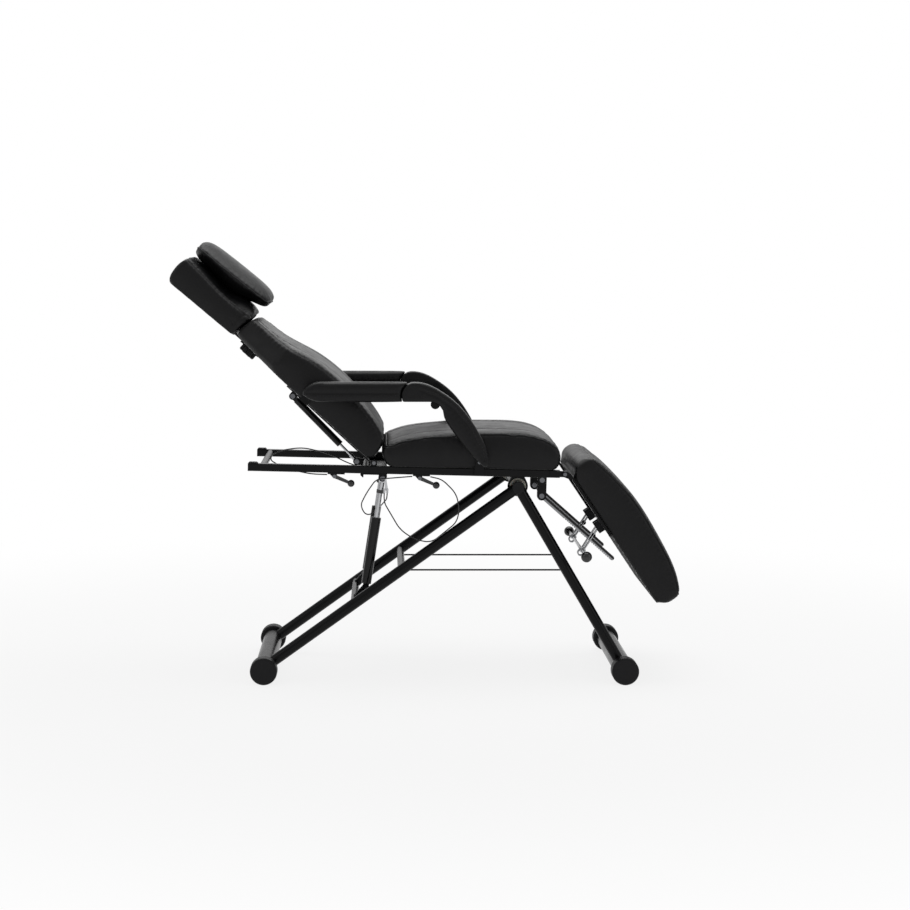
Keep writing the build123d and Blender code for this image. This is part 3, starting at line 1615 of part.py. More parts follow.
# Pins on the deck: tops of the tilt springs, foot of the back's spring, toothed bars and levers
rack_half = rack_bracket_gap / 2 + rack_bracket_thick
rack_middles = (-rack_y, rack_y)
lever_half = lever_cheek_gap / 2 + lever_cheek_thick
with BuildPart() as deck_pins:
    add(clevis_pins(strut_top, strut_middles, eye_pin_radius, pin_head_radius, clevis_half))
    add(clevis_pins(spring_low, (0,), eye_pin_radius, pin_head_radius, clevis_half))
    add(clevis_pins(rack.origin, rack_middles, rack_pin_radius, pin_head_radius, rack_half))
    bracket_bolt = point(deck, rack_cross_u, rack_bracket_bolt_v)
    add(clevis_pins(bracket_bolt, rack_middles, rack_pin_radius, pin_head_radius, rack_half))
    for lever_u in (lever_back_u, lever_tilt_u):
        pivot = point(deck, lever_u, lever_v)
        add(clevis_pins(pivot, (lever_y,), lever_pin_radius, lever_root_radius, lever_half))
save(deck_pins.part, "deck_pins")


# Release cables: straight runs joined by wide tangent arcs
def cable(places):
    route = [point(deck, u, v, y) for u, v, y in places]
    with BuildPart() as cord:
        with BuildLine() as way:
            start = route[0]
            for before, corner, after in zip(route, route[1:], route[2:]):
                trim = arc_share * min((corner - before).length, (after - corner).length)
                heading = (corner - before).normalized()
                enter = corner - heading * trim
                leave = corner + (after - corner).normalized() * trim
                Line(start, enter)
                TangentArc(enter, leave, tangent=heading)
                start = leave
            Line(start, route[-1])
        with BuildSketch(Plane(origin=route[0], z_dir=route[1] - route[0])):
            Circle(cable_radius)
        sweep(path=way.wires()[0])
    return cord.part


save(cable(back_cable_places), "back_release_cable")
with BuildPart() as tilt_cables:
    add(cable(tilt_cable_rear_places))
    add(cable(tilt_cable_front_places))
save(tilt_cables.part, "tilt_release_cables")

# Cable fittings: ferrules at the ends of the cables, and the lug that holds the tilt pair
with BuildPart() as fittings:
    for places in (back_cable_places, tilt_cable_rear_places, tilt_cable_front_places):
        end = point(deck, *places[-1])
        heading = (end - point(deck, *places[-2])).normalized()
        with BuildSketch(Plane(origin=end + heading * weld_gap, z_dir=heading)):
            Circle(ferrule_radius)
        extrude(amount=ferrule_length)
    lug_y = strut_y + clevis_half + ferrule_lug_thick / 2 + weld_gap
    with BuildSketch(across(deck, -lug_y)):
        with Locations(ferrule_lug_top):
            Circle(ferrule_lug_round)
        with Locations(ferrule_lug_foot):
            Circle(ferrule_lug_round * 2)
        make_hull()
    extrude(amount=ferrule_lug_thick / 2, both=True)
save(fittings.part, "cable_fittings")
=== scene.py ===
import math

import bpy
import numpy as np
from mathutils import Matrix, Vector
from mathutils.bvhtree import BVHTree
from mathutils.kdtree import KDTree


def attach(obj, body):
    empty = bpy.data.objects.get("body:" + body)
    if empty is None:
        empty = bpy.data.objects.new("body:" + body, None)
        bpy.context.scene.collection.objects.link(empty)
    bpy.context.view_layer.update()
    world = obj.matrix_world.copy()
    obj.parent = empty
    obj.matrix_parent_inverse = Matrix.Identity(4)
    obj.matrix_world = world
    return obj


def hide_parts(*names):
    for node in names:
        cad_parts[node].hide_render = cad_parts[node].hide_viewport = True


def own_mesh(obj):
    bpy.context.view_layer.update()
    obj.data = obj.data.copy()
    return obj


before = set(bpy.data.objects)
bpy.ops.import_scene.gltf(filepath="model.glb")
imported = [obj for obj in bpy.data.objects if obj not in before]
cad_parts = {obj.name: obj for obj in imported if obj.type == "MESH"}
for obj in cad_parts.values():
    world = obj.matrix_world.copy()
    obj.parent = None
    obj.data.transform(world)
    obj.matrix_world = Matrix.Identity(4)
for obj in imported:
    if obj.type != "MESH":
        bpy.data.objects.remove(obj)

scene = bpy.context.scene
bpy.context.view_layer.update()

# Camera: a long lens level with the sitter's head, looking slightly down at the chair from
# its right side, as a catalogue picture is taken.
camera_lens = bpy.data.cameras.new("side_camera")
camera_lens.sensor_width = 36.0
camera_lens.lens = 83.26
camera_lens.shift_x = 0.078
camera = bpy.data.objects.new("side_camera", camera_lens)
camera.location = (-0.114, -6.368, 1.2485)
camera.rotation_euler = (math.radians(90.0 - 5.375), 0.0, 0.0)
scene.collection.objects.link(camera)
scene.camera = camera
scene.view_settings.view_transform = "Standard"


# Studio: a pale sweep that fades to white round the chair, a large soft box overhead, a wide
# panel behind and two weak ones at the ends. The floor keeps a soft shadow under the feet.
def srgb(code):
    """An sRGB hex value as the linear colour that a shader works in."""
    parts = [int(code[i : i + 2], 16) / 255 for i in (1, 3, 5)]
    linear = [p / 12.92 if p <= 0.04045 else ((p + 0.055) / 1.055) ** 2.4 for p in parts]
    return (*linear, 1.0)


def add(tree, kind, settings=None, links=None, **traits):
    """A shader node with its traits, the values of its inputs, and what feeds its inputs."""
    made = tree.nodes.new(kind)
    for trait, value in traits.items():
        setattr(made, trait, value)
    for key, value in (settings or {}).items():
        made.inputs[key].default_value = value
    for key, source in (links or {}).items():
        tree.links.new(source, made.inputs[key])
    return made


def blank(name):
    """An empty node material of this name."""
    material = bpy.data.materials.new(name)
    material.use_nodes = True
    material.node_tree.nodes.clear()
    return material


def seeing(tree, mirrored):
    """1 for rays straight from the camera or through glass, and this share for mirrored ones."""
    ray = add(tree, "ShaderNodeLightPath")
    clear = add(
        tree,
        "ShaderNodeMath",
        None,
        {0: ray.outputs["Is Camera Ray"], 1: ray.outputs["Is Transmission Ray"]},
        operation="MAXIMUM",
    )
    share = add(
        tree,
        "ShaderNodeMath",
        {1: mirrored},
        {0: ray.outputs["Is Glossy Ray"]},
        operation="MULTIPLY",
    )
    both = add(
        tree,
        "ShaderNodeMath",
        None,
        {0: clear.outputs[0], 1: share.outputs[0]},
        operation="MAXIMUM",
    )
    return both.outputs[0]


sweep_paint = blank("matt_white_studio_paint")
tree = sweep_paint.node_tree
where = add(tree, "ShaderNodeTexCoord")
away = add(
    tree, "ShaderNodeVectorMath", None, {0: where.outputs["Object"]}, operation="LENGTH"
)
faded = add(
    tree,
    "ShaderNodeMapRange",
    {"From Min": 1.0, "From Max": 3.2, "To Min": 0.84, "To Max": 1.0},
    {"Value": away.outputs["Value"]},
    interpolation_type="SMOOTHSTEP",
)
seen = add(
    tree,
    "ShaderNodeMath",
    None,
    {0: seeing(tree, 1.0), 1: faded.outputs["Result"]},
    operation="MULTIPLY",
)
matt = add(tree, "ShaderNodeBsdfDiffuse", {"Color": srgb("#e9e9e9"), "Roughness": 0.6})
white = add(tree, "ShaderNodeEmission", {"Color": srgb("#ffffff"), "Strength": 1.0})
mixed = add(
    tree,
    "ShaderNodeMixShader",
    None,
    {0: seen.outputs[0], 1: matt.outputs[0], 2: white.outputs[0]},
)
add(tree, "ShaderNodeOutputMaterial", None, {"Surface": mixed.outputs[0]})

floor_half = 14.0
floor_mesh = bpy.data.meshes.new("studio_floor")
floor_mesh.from_pydata(
    [
        (-floor_half, -floor_half, 0.0),
        (floor_half, -floor_half, 0.0),
        (floor_half, floor_half, 0.0),
        (-floor_half, floor_half, 0.0),
    ],
    [],
    [(0, 1, 2, 3)],
)
floor_mesh.materials.append(sweep_paint)
studio_floor = bpy.data.objects.new("studio_floor", floor_mesh)
scene.collection.objects.link(studio_floor)

world = bpy.data.worlds.new("white_studio")
scene.world = world
world.use_nodes = True
tree = world.node_tree
tree.nodes.clear()
seen = add(
    tree,
    "ShaderNodeMapRange",
    {"To Min": 0.34, "To Max": 1.0},
    {"Value": seeing(tree, 0.4)},
)
sky = add(tree, "ShaderNodeBackground", {"Color": srgb("#ffffff")}, {"Strength": seen.outputs[0]})
add(tree, "ShaderNodeOutputWorld", None, {"Surface": sky.outputs[0]})

for name, place, aim, size, watts in (
    ("soft_box_overhead", (0.1, 0.5, 3.2), (0.05, 0.1, 0.5), (3.2, 2.0), 62.0),
    ("panel_behind", (0.0, 3.8, 2.3), (0.0, 0.0, 0.7), (4.2, 1.8), 24.0),
    ("panel_at_feet", (3.4, -2.2, 1.8), (0.3, 0.0, 0.5), (1.2, 1.6), 8.0),
    ("panel_at_head", (-3.4, -1.8, 2.2), (-0.3, 0.0, 0.8), (1.2, 1.6), 8.0),
):
    light = bpy.data.lights.new(name, "AREA")
    light.shape = "RECTANGLE"
    light.size, light.size_y = size
    light.energy = watts
    lamp = bpy.data.objects.new(name, light)
    lamp.location = place
    lamp.rotation_euler = (Vector(aim) - Vector(place)).to_track_quat("-Z", "Y").to_euler()
    lamp.visible_camera = False
    scene.collection.objects.link(lamp)


# Trestle, deck and frames: welded round tube, flat bar and folded sheet, sprayed with one
# thick black powder coat and baked, which leaves a deep gloss with a faint orange peel.
powder_coat = blank("black_powder_coat_on_steel")
tree = powder_coat.node_tree
where = add(tree, "ShaderNodeTexCoord")
# Orange peel is about 2 mm across on the real coat, and 4 mm here so that it shows.
peel = add(
    tree,
    "ShaderNodeTexNoise",
    {"Scale": 1 / 0.004, "Detail": 2.0, "Roughness": 0.4},
    {"Vector": where.outputs["Object"]},
)
cloudy = add(
    tree,
    "ShaderNodeTexNoise",
    {"Scale": 1 / 0.12, "Detail": 4.0, "Roughness": 0.6},
    {"Vector": where.outputs["Object"]},
)
gloss = add(
    tree,
    "ShaderNodeMapRange",
    {"From Min": 0.3, "From Max": 0.7, "To Min": 0.2, "To Max": 0.3},
    {"Value": cloudy.outputs["Fac"]},
)
shade = add(
    tree,
    "ShaderNodeMix",
    {"A": srgb("#08080a"), "B": srgb("#101011")},
    {"Factor": cloudy.outputs["Fac"]},
    data_type="RGBA",
)
relief = add(
    tree,
    "ShaderNodeBump",
    {"Strength": 0.12, "Distance": 0.0003},
    {"Height": peel.outputs["Fac"]},
)
coat = add(
    tree,
    "ShaderNodeBsdfPrincipled",
    {"IOR": 1.5, "Specular IOR Level": 0.14},
    {
        "Base Color": shade.outputs["Result"],
        "Roughness": gloss.outputs["Result"],
        "Normal": relief.outputs["Normal"],
    },
)
add(tree, "ShaderNodeOutputMaterial", None, {"Surface": coat.outputs[0]})


def dress(material, *nodes):
    """Gives CAD nodes this finish in place of the plain one they load with."""
    for node in nodes:
        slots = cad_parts[node].material_slots
        if not slots:
            raise SystemExit(node + " has no material slot")
        for slot in slots:
            slot.link = "OBJECT"
            slot.material = material


dress(
    powder_coat,
    "foot_bars",
    "long_legs",
    "short_legs",
    "tilt_axle_tube",
    "tie_cross_tubes",
    "tie_rods",
    "strut_cross_tube",
    "deck_rails",
    "deck_cross_tubes",
    "deck_cross_spring",
    "deck_cross_tilt",
    "strut_channel",
    "arm_front_brackets",
    "rack_brackets",
    "lever_mounts",
    "back_frame",
    "head_sleeve",
    "head_post",
    "arm_bars",
    "arm_strut_bars",
    "leg_frame",
)

# Toothed bars of the leg rest: the same coat on flat bar, rubbed and filed back to bright
# zinc along the toothed lower edge where the catches run.
toothed_bar = blank("black_powder_coat_worn_to_zinc")
tree = toothed_bar.node_tree
where = add(tree, "ShaderNodeTexCoord")
# The bars' middle line lies 640.4 mm out along this direction, which stands square to them.
height = add(
    tree,
    "ShaderNodeVectorMath",
    {1: (0.6626, 0.0, 0.749)},
    {0: where.outputs["Object"]},
    operation="DOT_PRODUCT",
)
worn = add(
    tree,
    "ShaderNodeMapRange",
    {"From Min": 0.6394, "From Max": 0.6408, "To Min": 1.0, "To Max": 0.0},
    {"Value": height.outputs["Value"]},
)
scratched = add(
    tree,
    "ShaderNodeTexNoise",
    {"Scale": 1 / 0.003, "Detail": 3.0},
    {"Vector": where.outputs["Object"]},
)
shade = add(
    tree,
    "ShaderNodeMix",
    {"A": srgb("#0a0a0b"), "B": srgb("#8b8c8e")},
    {"Factor": worn.outputs["Result"]},
    data_type="RGBA",
)
gloss = add(
    tree,
    "ShaderNodeMapRange",
    {"From Min": 0.3, "From Max": 0.7, "To Min": 0.18, "To Max": 0.36},
    {"Value": scratched.outputs["Fac"]},
)
bar = add(
    tree,
    "ShaderNodeBsdfPrincipled",
    {"Specular IOR Level": 0.3},
    {
        "Base Color": shade.outputs["Result"],
        "Metallic": worn.outputs["Result"],
        "Roughness": gloss.outputs["Result"],
    },
)
add(tree, "ShaderNodeOutputMaterial", None, {"Surface": bar.outputs[0]})
dress(toothed_bar, "rack_bars")

# Gas spring tubes: drawn steel tube in a harder, smoother stoved enamel than the frame, with
# a clear gloss over the faint lines of the drawing.
enamel = blank("black_stoved_enamel_on_steel")
tree = enamel.node_tree
where = add(tree, "ShaderNodeTexCoord")
# Fine drawing lines along the tube, 1 mm apart here so that they show at all.
lines = add(
    tree,
    "ShaderNodeTexNoise",
    {"Scale": 1 / 0.001, "Detail": 1.0},
    {"Vector": where.outputs["Object"]},
)
haze = add(
    tree,
    "ShaderNodeTexNoise",
    {"Scale": 1 / 0.05, "Detail": 3.0},
    {"Vector": where.outputs["Object"]},
)
gloss = add(
    tree,
    "ShaderNodeMapRange",
    {"From Min": 0.3, "From Max": 0.7, "To Min": 0.14, "To Max": 0.24},
    {"Value": haze.outputs["Fac"]},
)
shade = add(
    tree,
    "ShaderNodeMix",
    {"A": srgb("#090909"), "B": srgb("#111112")},
    {"Factor": haze.outputs["Fac"]},
    data_type="RGBA",
)
relief = add(
    tree, "ShaderNodeBump", {"Strength": 0.06, "Distance": 0.0001}, {"Height": lines.outputs["Fac"]}
)
paint = add(
    tree,
    "ShaderNodeBsdfPrincipled",
    {"IOR": 1.5, "Specular IOR Level": 0.25},
    {
        "Base Color": shade.outputs["Result"],
        "Roughness": gloss.outputs["Result"],
        "Normal": relief.outputs["Normal"],
    },
)
add(tree, "ShaderNodeOutputMaterial", None, {"Surface": paint.outputs[0]})
dress(enamel, "tilt_spring_tubes", "back_spring_tube")

# Spring rods, release rod and cable fittings: turned steel with a bright nickel and chrome
# plate, which mirrors the studio and shows thin streaks where it was polished.
def plated_steel(name, dull, bright):
    """Turned steel under a polished plate that is streaked between these two colours."""
    material = blank(name)
    tree = material.node_tree
    where = add(tree, "ShaderNodeTexCoord")
    streaks = add(
        tree,
        "ShaderNodeTexNoise",
        {"Scale": 1 / 0.006, "Detail": 4.0, "Roughness": 0.7},
        {"Vector": where.outputs["Object"]},
    )
    gloss = add(
        tree,
        "ShaderNodeMapRange",
        {"From Min": 0.3, "From Max": 0.75, "To Min": 0.08, "To Max": 0.22},
        {"Value": streaks.outputs["Fac"]},
    )
    shade = add(
        tree,
        "ShaderNodeMix",
        {"A": srgb(dull), "B": srgb(bright)},
        {"Factor": streaks.outputs["Fac"]},
        data_type="RGBA",
    )
    plate = add(
        tree,
        "ShaderNodeBsdfPrincipled",
        {"Metallic": 1.0},
        {"Base Color": shade.outputs["Result"], "Roughness": gloss.outputs["Result"]},
    )
    add(tree, "ShaderNodeOutputMaterial", None, {"Surface": plate.outputs[0]})
    return material


chrome = plated_steel("bright_chrome_plate_on_steel", "#a6a7a9", "#c3c4c6")
dress(chrome, "tilt_spring_rods", "back_spring_rod", "release_rod", "cable_fittings")

# Bolts and clevis pins: the same turned steel under a plain dark zinc plate, whose heads
# reflect less than the rods do.
dark_zinc = plated_steel("dark_zinc_plate_on_steel", "#4c4d50", "#77787b")
dress(
    dark_zinc,
    "strut_lower_pins",
    "hinge_bolts",
    "deck_pins",
    "back_spring_upper_pin",
    "arm_front_bolts",
    "arm_rear_bolts",
    "arm_elbow_pins",
)

# Feet, end caps, latch housings and the star knob: moulded black nylon and ABS from a
# spark-eroded tool, so they are matt with a fine even grain.
moulded = blank("black_moulded_abs")
tree = moulded.node_tree
where = add(tree, "ShaderNodeTexCoord")
# The grain of the tool is about 0.3 mm, and 1.5 mm here so that it shows.
grain = add(
    tree,
    "ShaderNodeTexVoronoi",
    {"Scale": 1 / 0.0015, "Randomness": 1.0},
    {"Vector": where.outputs["Object"]},
)
scuff = add(
    tree,
    "ShaderNodeTexNoise",
    {"Scale": 1 / 0.02, "Detail": 5.0, "Roughness": 0.65},
    {"Vector": where.outputs["Object"]},
)
gloss = add(
    tree,
    "ShaderNodeMapRange",
    {"From Min": 0.3, "From Max": 0.7, "To Min": 0.4, "To Max": 0.56},
    {"Value": scuff.outputs["Fac"]},
)
shade = add(
    tree,
    "ShaderNodeMix",
    {"A": srgb("#0c0c0d"), "B": srgb("#18181a")},
    {"Factor": scuff.outputs["Fac"]},
    data_type="RGBA",
)
relief = add(
    tree,
    "ShaderNodeBump",
    {"Strength": 0.2, "Distance": 0.0002},
    {"Height": grain.outputs["Distance"]},
)
plastic = add(
    tree,
    "ShaderNodeBsdfPrincipled",
    {"IOR": 1.5, "Specular IOR Level": 0.2},
    {
        "Base Color": shade.outputs["Result"],
        "Roughness": gloss.outputs["Result"],
        "Normal": relief.outputs["Normal"],
    },
)
add(tree, "ShaderNodeOutputMaterial", None, {"Surface": plastic.outputs[0]})
dress(
    moulded,
    "foot_caps",
    "tilt_axle_plugs",
    "rail_end_caps",
    "head_knob",
    "latch_housings",
    "latch_rollers",
)

# Tilt bushes: turned from natural cast nylon, milky and waxy.
nylon = blank("natural_cast_nylon")
tree = nylon.node_tree
where = add(tree, "ShaderNodeTexCoord")
waxy = add(
    tree,
    "ShaderNodeTexNoise",
    {"Scale": 1 / 0.008, "Detail": 3.0},
    {"Vector": where.outputs["Object"]},
)
shade = add(
    tree,
    "ShaderNodeMix",
    {"A": srgb("#a9a69a"), "B": srgb("#c6c3b8")},
    {"Factor": waxy.outputs["Fac"]},
    data_type="RGBA",
)
gloss = add(
    tree,
    "ShaderNodeMapRange",
    {"To Min": 0.35, "To Max": 0.5},
    {"Value": waxy.outputs["Fac"]},
)
body = add(
    tree,
    "ShaderNodeBsdfPrincipled",
    {"IOR": 1.53, "Subsurface Weight": 0.1, "Subsurface Scale": 0.002},
    {"Base Color": shade.outputs["Result"], "Roughness": gloss.outputs["Result"]},
)
add(tree, "ShaderNodeOutputMaterial", None, {"Surface": body.outputs[0]})
dress(nylon, "tilt_bushes")

# Ball handles, hand levers and the nuts of the tilt springs: pressed phenolic, polished to
# a wet black gloss.
phenolic = blank("polished_black_phenolic")
tree = phenolic.node_tree
where = add(tree, "ShaderNodeTexCoord")
handled = add(
    tree,
    "ShaderNodeTexNoise",
    {"Scale": 1 / 0.012, "Detail": 4.0, "Roughness": 0.6},
    {"Vector": where.outputs["Object"]},
)
gloss = add(
    tree,
    "ShaderNodeMapRange",
    {"From Min": 0.3, "From Max": 0.7, "To Min": 0.08, "To Max": 0.2},
    {"Value": handled.outputs["Fac"]},
)
shade = add(
    tree,
    "ShaderNodeMix",
    {"A": srgb("#0a0a0a"), "B": srgb("#171718")},
    {"Factor": handled.outputs["Fac"]},
    data_type="RGBA",
)
resin = add(
    tree,
    "ShaderNodeBsdfPrincipled",
    {"IOR": 1.55},
    {"Base Color": shade.outputs["Result"], "Roughness": gloss.outputs["Result"]},
)
add(tree, "ShaderNodeOutputMaterial", None, {"Surface": resin.outputs[0]})
dress(phenolic, "release_balls", "back_lever", "tilt_lever", "tilt_spring_nuts")

# Boards under the cushions: 12 mm and 9 mm plywood, wrapped and stapled over with a plain
# black dust cloth whose threads show as a fine net.
dust_cloth = blank("black_woven_dust_cloth")
tree = dust_cloth.node_tree
where = add(tree, "ShaderNodeTexCoord")
# The threads lie about 0.6 mm apart, and 3 mm here so that they show.
full_turn = 6.2832
thread_scale = 1 / 0.003 / full_turn * 2
warp = add(
    tree,
    "ShaderNodeTexWave",
    {"Scale": thread_scale, "Distortion": 0.4, "Detail": 1.0},
    {"Vector": where.outputs["Object"]},
    bands_direction="X",
)
weft = add(
    tree,
    "ShaderNodeTexWave",
    {"Scale": thread_scale, "Distortion": 0.4, "Detail": 1.0},
    {"Vector": where.outputs["Object"]},
    bands_direction="Y",
)
net = add(
    tree,
    "ShaderNodeMath",
    None,
    {0: warp.outputs["Fac"], 1: weft.outputs["Fac"]},
    operation="MAXIMUM",
)
shade = add(
    tree,
    "ShaderNodeMix",
    {"A": srgb("#0d0d0d"), "B": srgb("#191918")},
    {"Factor": net.outputs[0]},
    data_type="RGBA",
)
relief = add(
    tree, "ShaderNodeBump", {"Strength": 0.35, "Distance": 0.0004}, {"Height": net.outputs[0]}
)
cloth = add(
    tree,
    "ShaderNodeBsdfPrincipled",
    {"Roughness": 0.88, "Sheen Weight": 0.1},
    {"Base Color": shade.outputs["Result"], "Normal": relief.outputs["Normal"]},
)
add(tree, "ShaderNodeOutputMaterial", None, {"Surface": cloth.outputs[0]})

# Release cables: steel wire in a thin black PVC sheath, run from each hand lever to the
# valve that it opens. The one to the back's spring is a copy of the CAD cable that rides on the
# deck.
sheath = blank("black_pvc_cable_sheath")
tree = sheath.node_tree
where = add(tree, "ShaderNodeTexCoord")
kinks = add(
    tree,
    "ShaderNodeTexNoise",
    {"Scale": 1 / 0.01, "Detail": 3.0},
    {"Vector": where.outputs["Object"]},
)
shade = add(
    tree,
    "ShaderNodeMix",
    {"A": srgb("#0b0b0b"), "B": srgb("#191919")},
    {"Factor": kinks.outputs["Fac"]},
    data_type="RGBA",
)
gloss = add(
    tree,
    "ShaderNodeMapRange",
    {"To Min": 0.28, "To Max": 0.45},
    {"Value": kinks.outputs["Fac"]},
)
pvc = add(
    tree,
    "ShaderNodeBsdfPrincipled",
    {"IOR": 1.53},
    {"Base Color": shade.outputs["Result"], "Roughness": gloss.outputs["Result"]},
)
add(tree, "ShaderNodeOutputMaterial", None, {"Surface": pvc.outputs[0]})
dress(sheath, "tilt_release_cables")


def side_view(x, z, turn, flip=1.0):
    """How a length, a height and a distance sideways on a piece, in mm, become a place."""
    angle = math.radians(turn)
    origin = Vector((x, 0.0, z)) / 1000
    along = Vector((math.cos(angle), 0.0, math.sin(angle))) / 1000
    up = Vector((-math.sin(angle), 0.0, math.cos(angle))) * flip / 1000
    return lambda s, n, y=0.0: origin + along * s + up * n + Vector((0.0, y / 1000, 0.0))


deck = side_view(280.0, 576.0, -1.3)
deck_up = deck(0.0, 1000.0) - deck(0.0, 0.0)
cable_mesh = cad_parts["back_release_cable"].data.copy()
cable_mesh.materials.clear()
cable_mesh.materials.append(sheath)
back_cable = bpy.data.objects.new("back_cable_sheath", cable_mesh)
scene.collection.objects.link(back_cable)
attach(back_cable, "deck")
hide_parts("back_release_cable")
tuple(deck(-600.0, 30.0))
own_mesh(back_cable)


def tube(name, lines, radius, material, body):
    """Round wire or cord along these lines, as one mesh that rides on the body."""
    way = bpy.data.curves.new(name, "CURVE")
    way.dimensions = "3D"
    for places, closed in lines:
        spline = way.splines.new("POLY")
        spline.points.add(len(places) - 1)
        for knot, place in zip(spline.points, places):
            knot.co = (*place, 1.0)
        spline.use_cyclic_u = closed
    way.bevel_depth = radius
    way.bevel_resolution = 3
    way.use_fill_caps = True
    drawn = bpy.data.objects.new(name, way)
    scene.collection.objects.link(drawn)
    graph = bpy.context.evaluated_depsgraph_get()
    mesh = bpy.data.meshes.new_from_object(drawn.evaluated_get(graph), depsgraph=graph)
    bpy.data.objects.remove(drawn)
    bpy.data.curves.remove(way)
    mesh.name = name
    mesh.materials.clear()
    mesh.materials.append(material)
    for face in mesh.polygons:
        face.use_smooth = True
    made = bpy.data.objects.new(name, mesh)
    scene.collection.objects.link(made)
    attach(made, body)
    return made


# Latch arms: bright plated wire, bent in a long loop round the slot of the release rod and
# held in the housings, one on each side of each toothed bar.
leg = side_view(414.941, 615.949, -56.3)
slide_turn = math.radians(-68.6)
slide_travel = 8.0
slot_s, slot_n, slot_radius = 231.9, -81.0, 8.0
wire_top, wire_foot, wire_aside = (198.0, -6.0), (231.0, -82.0), 4.2
latch_lines = []
for y in (-157.0, -143.0, 143.0, 157.0):
    loop = []
    for step in range(24):
        turn = slide_turn + math.radians(-90.0 + step * 15.0)
        gone = slide_travel if step < 13 else 0.0
        loop.append(
            leg(
                slot_s + math.cos(slide_turn) * gone + math.cos(turn) * slot_radius,
                slot_n + math.sin(slide_turn) * gone + math.sin(turn) * slot_radius,
                y,
            )
        )
    latch_lines.append((loop, True))
    for aside in (-wire_aside, wire_aside):
        top = leg(wire_top[0] + aside, wire_top[1], y)
        latch_lines.append(([top, leg(wire_foot[0] + aside, wire_foot[1], y)], False))
latch_wires = tube("latch_wires", latch_lines, 0.0021, chrome, "leg_rest")
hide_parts("latch_arms")

# Seat cushion: high-density foam on the seat board under black artificial leather. A flat
# side band meets the top at a sewn edge, and two channels part the top in three panels.
vinyl = blank("black_pvc_artificial_leather")
tree = vinyl.node_tree
where = add(tree, "ShaderNodeTexCoord")
# The embossed pebble is about 1 mm across, and 2.4 mm here so that it shows.
pebble = add(
    tree,
    "ShaderNodeTexVoronoi",
    {"Scale": 1 / 0.0024, "Randomness": 0.9},
    {"Vector": where.outputs["Object"]},
)
crease = add(
    tree,
    "ShaderNodeTexNoise",
    {"Scale": 1 / 0.045, "Detail": 5.0, "Roughness": 0.55, "Distortion": 0.6},
    {"Vector": where.outputs["Object"]},
)
rubbed = add(
    tree,
    "ShaderNodeTexNoise",
    {"Scale": 1 / 0.16, "Detail": 4.0, "Roughness": 0.6},
    {"Vector": where.outputs["Object"]},
)
shade = add(
    tree,
    "ShaderNodeMix",
    {"A": srgb("#0c0c0d"), "B": srgb("#161617")},
    {"Factor": rubbed.outputs["Fac"]},
    data_type="RGBA",
)
gloss = add(
    tree,
    "ShaderNodeMapRange",
    {"From Min": 0.3, "From Max": 0.7, "To Min": 0.38, "To Max": 0.5},
    {"Value": crease.outputs["Fac"]},
)
folds = add(
    tree,
    "ShaderNodeBump",
    {"Strength": 0.3, "Distance": 0.003},
    {"Height": crease.outputs["Fac"]},
)
relief = add(
    tree,
    "ShaderNodeBump",
    {"Strength": 0.3, "Distance": 0.0003},
    {"Height": pebble.outputs["Distance"], "Normal": folds.outputs["Normal"]},
)
hide = add(
    tree,
    "ShaderNodeBsdfPrincipled",
    {"IOR": 1.5, "Specular IOR Level": 0.2},
    {
        "Base Color": shade.outputs["Result"],
        "Roughness": gloss.outputs["Result"],
        "Normal": relief.outputs["Normal"],
    },
)
add(tree, "ShaderNodeOutputMaterial", None, {"Surface": hide.outputs[0]})

thread = blank("black_bonded_nylon_thread")
tree = thread.node_tree
where = add(tree, "ShaderNodeTexCoord")
# The twist of the thread is 0.4 mm, and 1 mm here so that it shows.
twist = add(
    tree,
    "ShaderNodeTexNoise",
    {"Scale": 1 / 0.001, "Detail": 1.0},
    {"Vector": where.outputs["Object"]},
)
shade = add(
    tree,
    "ShaderNodeMix",
    {"A": srgb("#121213"), "B": srgb("#262627")},
    {"Factor": twist.outputs["Fac"]},
    data_type="RGBA",
)
yarn = add(
    tree,
    "ShaderNodeBsdfPrincipled",
    {"Roughness": 0.5, "Specular IOR Level": 0.3},
    {"Base Color": shade.outputs["Result"]},
)
add(tree, "ShaderNodeOutputMaterial", None, {"Surface": yarn.outputs[0]})


def rows_of(mesh, what="co"):
    """The places or the normals of a mesh's points, one row each."""
    flat = np.empty(len(mesh.vertices) * 3)
    mesh.vertices.foreach_get(what, flat)
    return flat.reshape(-1, 3)


def settle(piece):
    """Makes what the modifiers give into the piece's own mesh."""
    graph = bpy.context.evaluated_depsgraph_get()
    formed = bpy.data.meshes.new_from_object(piece.evaluated_get(graph), depsgraph=graph)
    old = piece.data
    piece.modifiers.clear()
    piece.data = formed
    bpy.data.meshes.remove(old)


def skin_of(cover):
    """The cover's surface, for finding the nearest place on it."""
    bpy.context.view_layer.update()
    return BVHTree.FromObject(cover, bpy.context.evaluated_depsgraph_get())


def snapped(skin, guesses, ease=3, closed=True):
    """A row of guessed places moved on to the skin and eased along its length."""
    path = [skin.find_nearest(guess)[0] for guess in guesses]
    count = len(path)
    for _ in range(ease):
        eased = []
        for i, here in enumerate(path):
            if closed or 0 < i < count - 1:
                here = (path[i - 1] + here * 2 + path[(i + 1) % count]) / 4
            eased.append(here)
        path = [skin.find_nearest(place)[0] for place in eased]
    return path, [skin.find_nearest(place)[1] for place in path]


def reach_of(rows, paths):
    """How far each place is from the nearest point of the paths, and how far along that is."""
    near = KDTree(sum(len(path) for path in paths))
    run = []
    for path in paths:
        gone = 0.0
        for i, place in enumerate(path):
            gone += (place - path[i - 1]).length if i else 0.0
            near.insert(place, len(run))
            run.append(gone)
    near.balance()
    found = [near.find(row) for row in rows]
    return np.array([f[2] for f in found]), np.array([run[f[1]] for f in found])


sewn_reach = 0.005
air_steps = 20


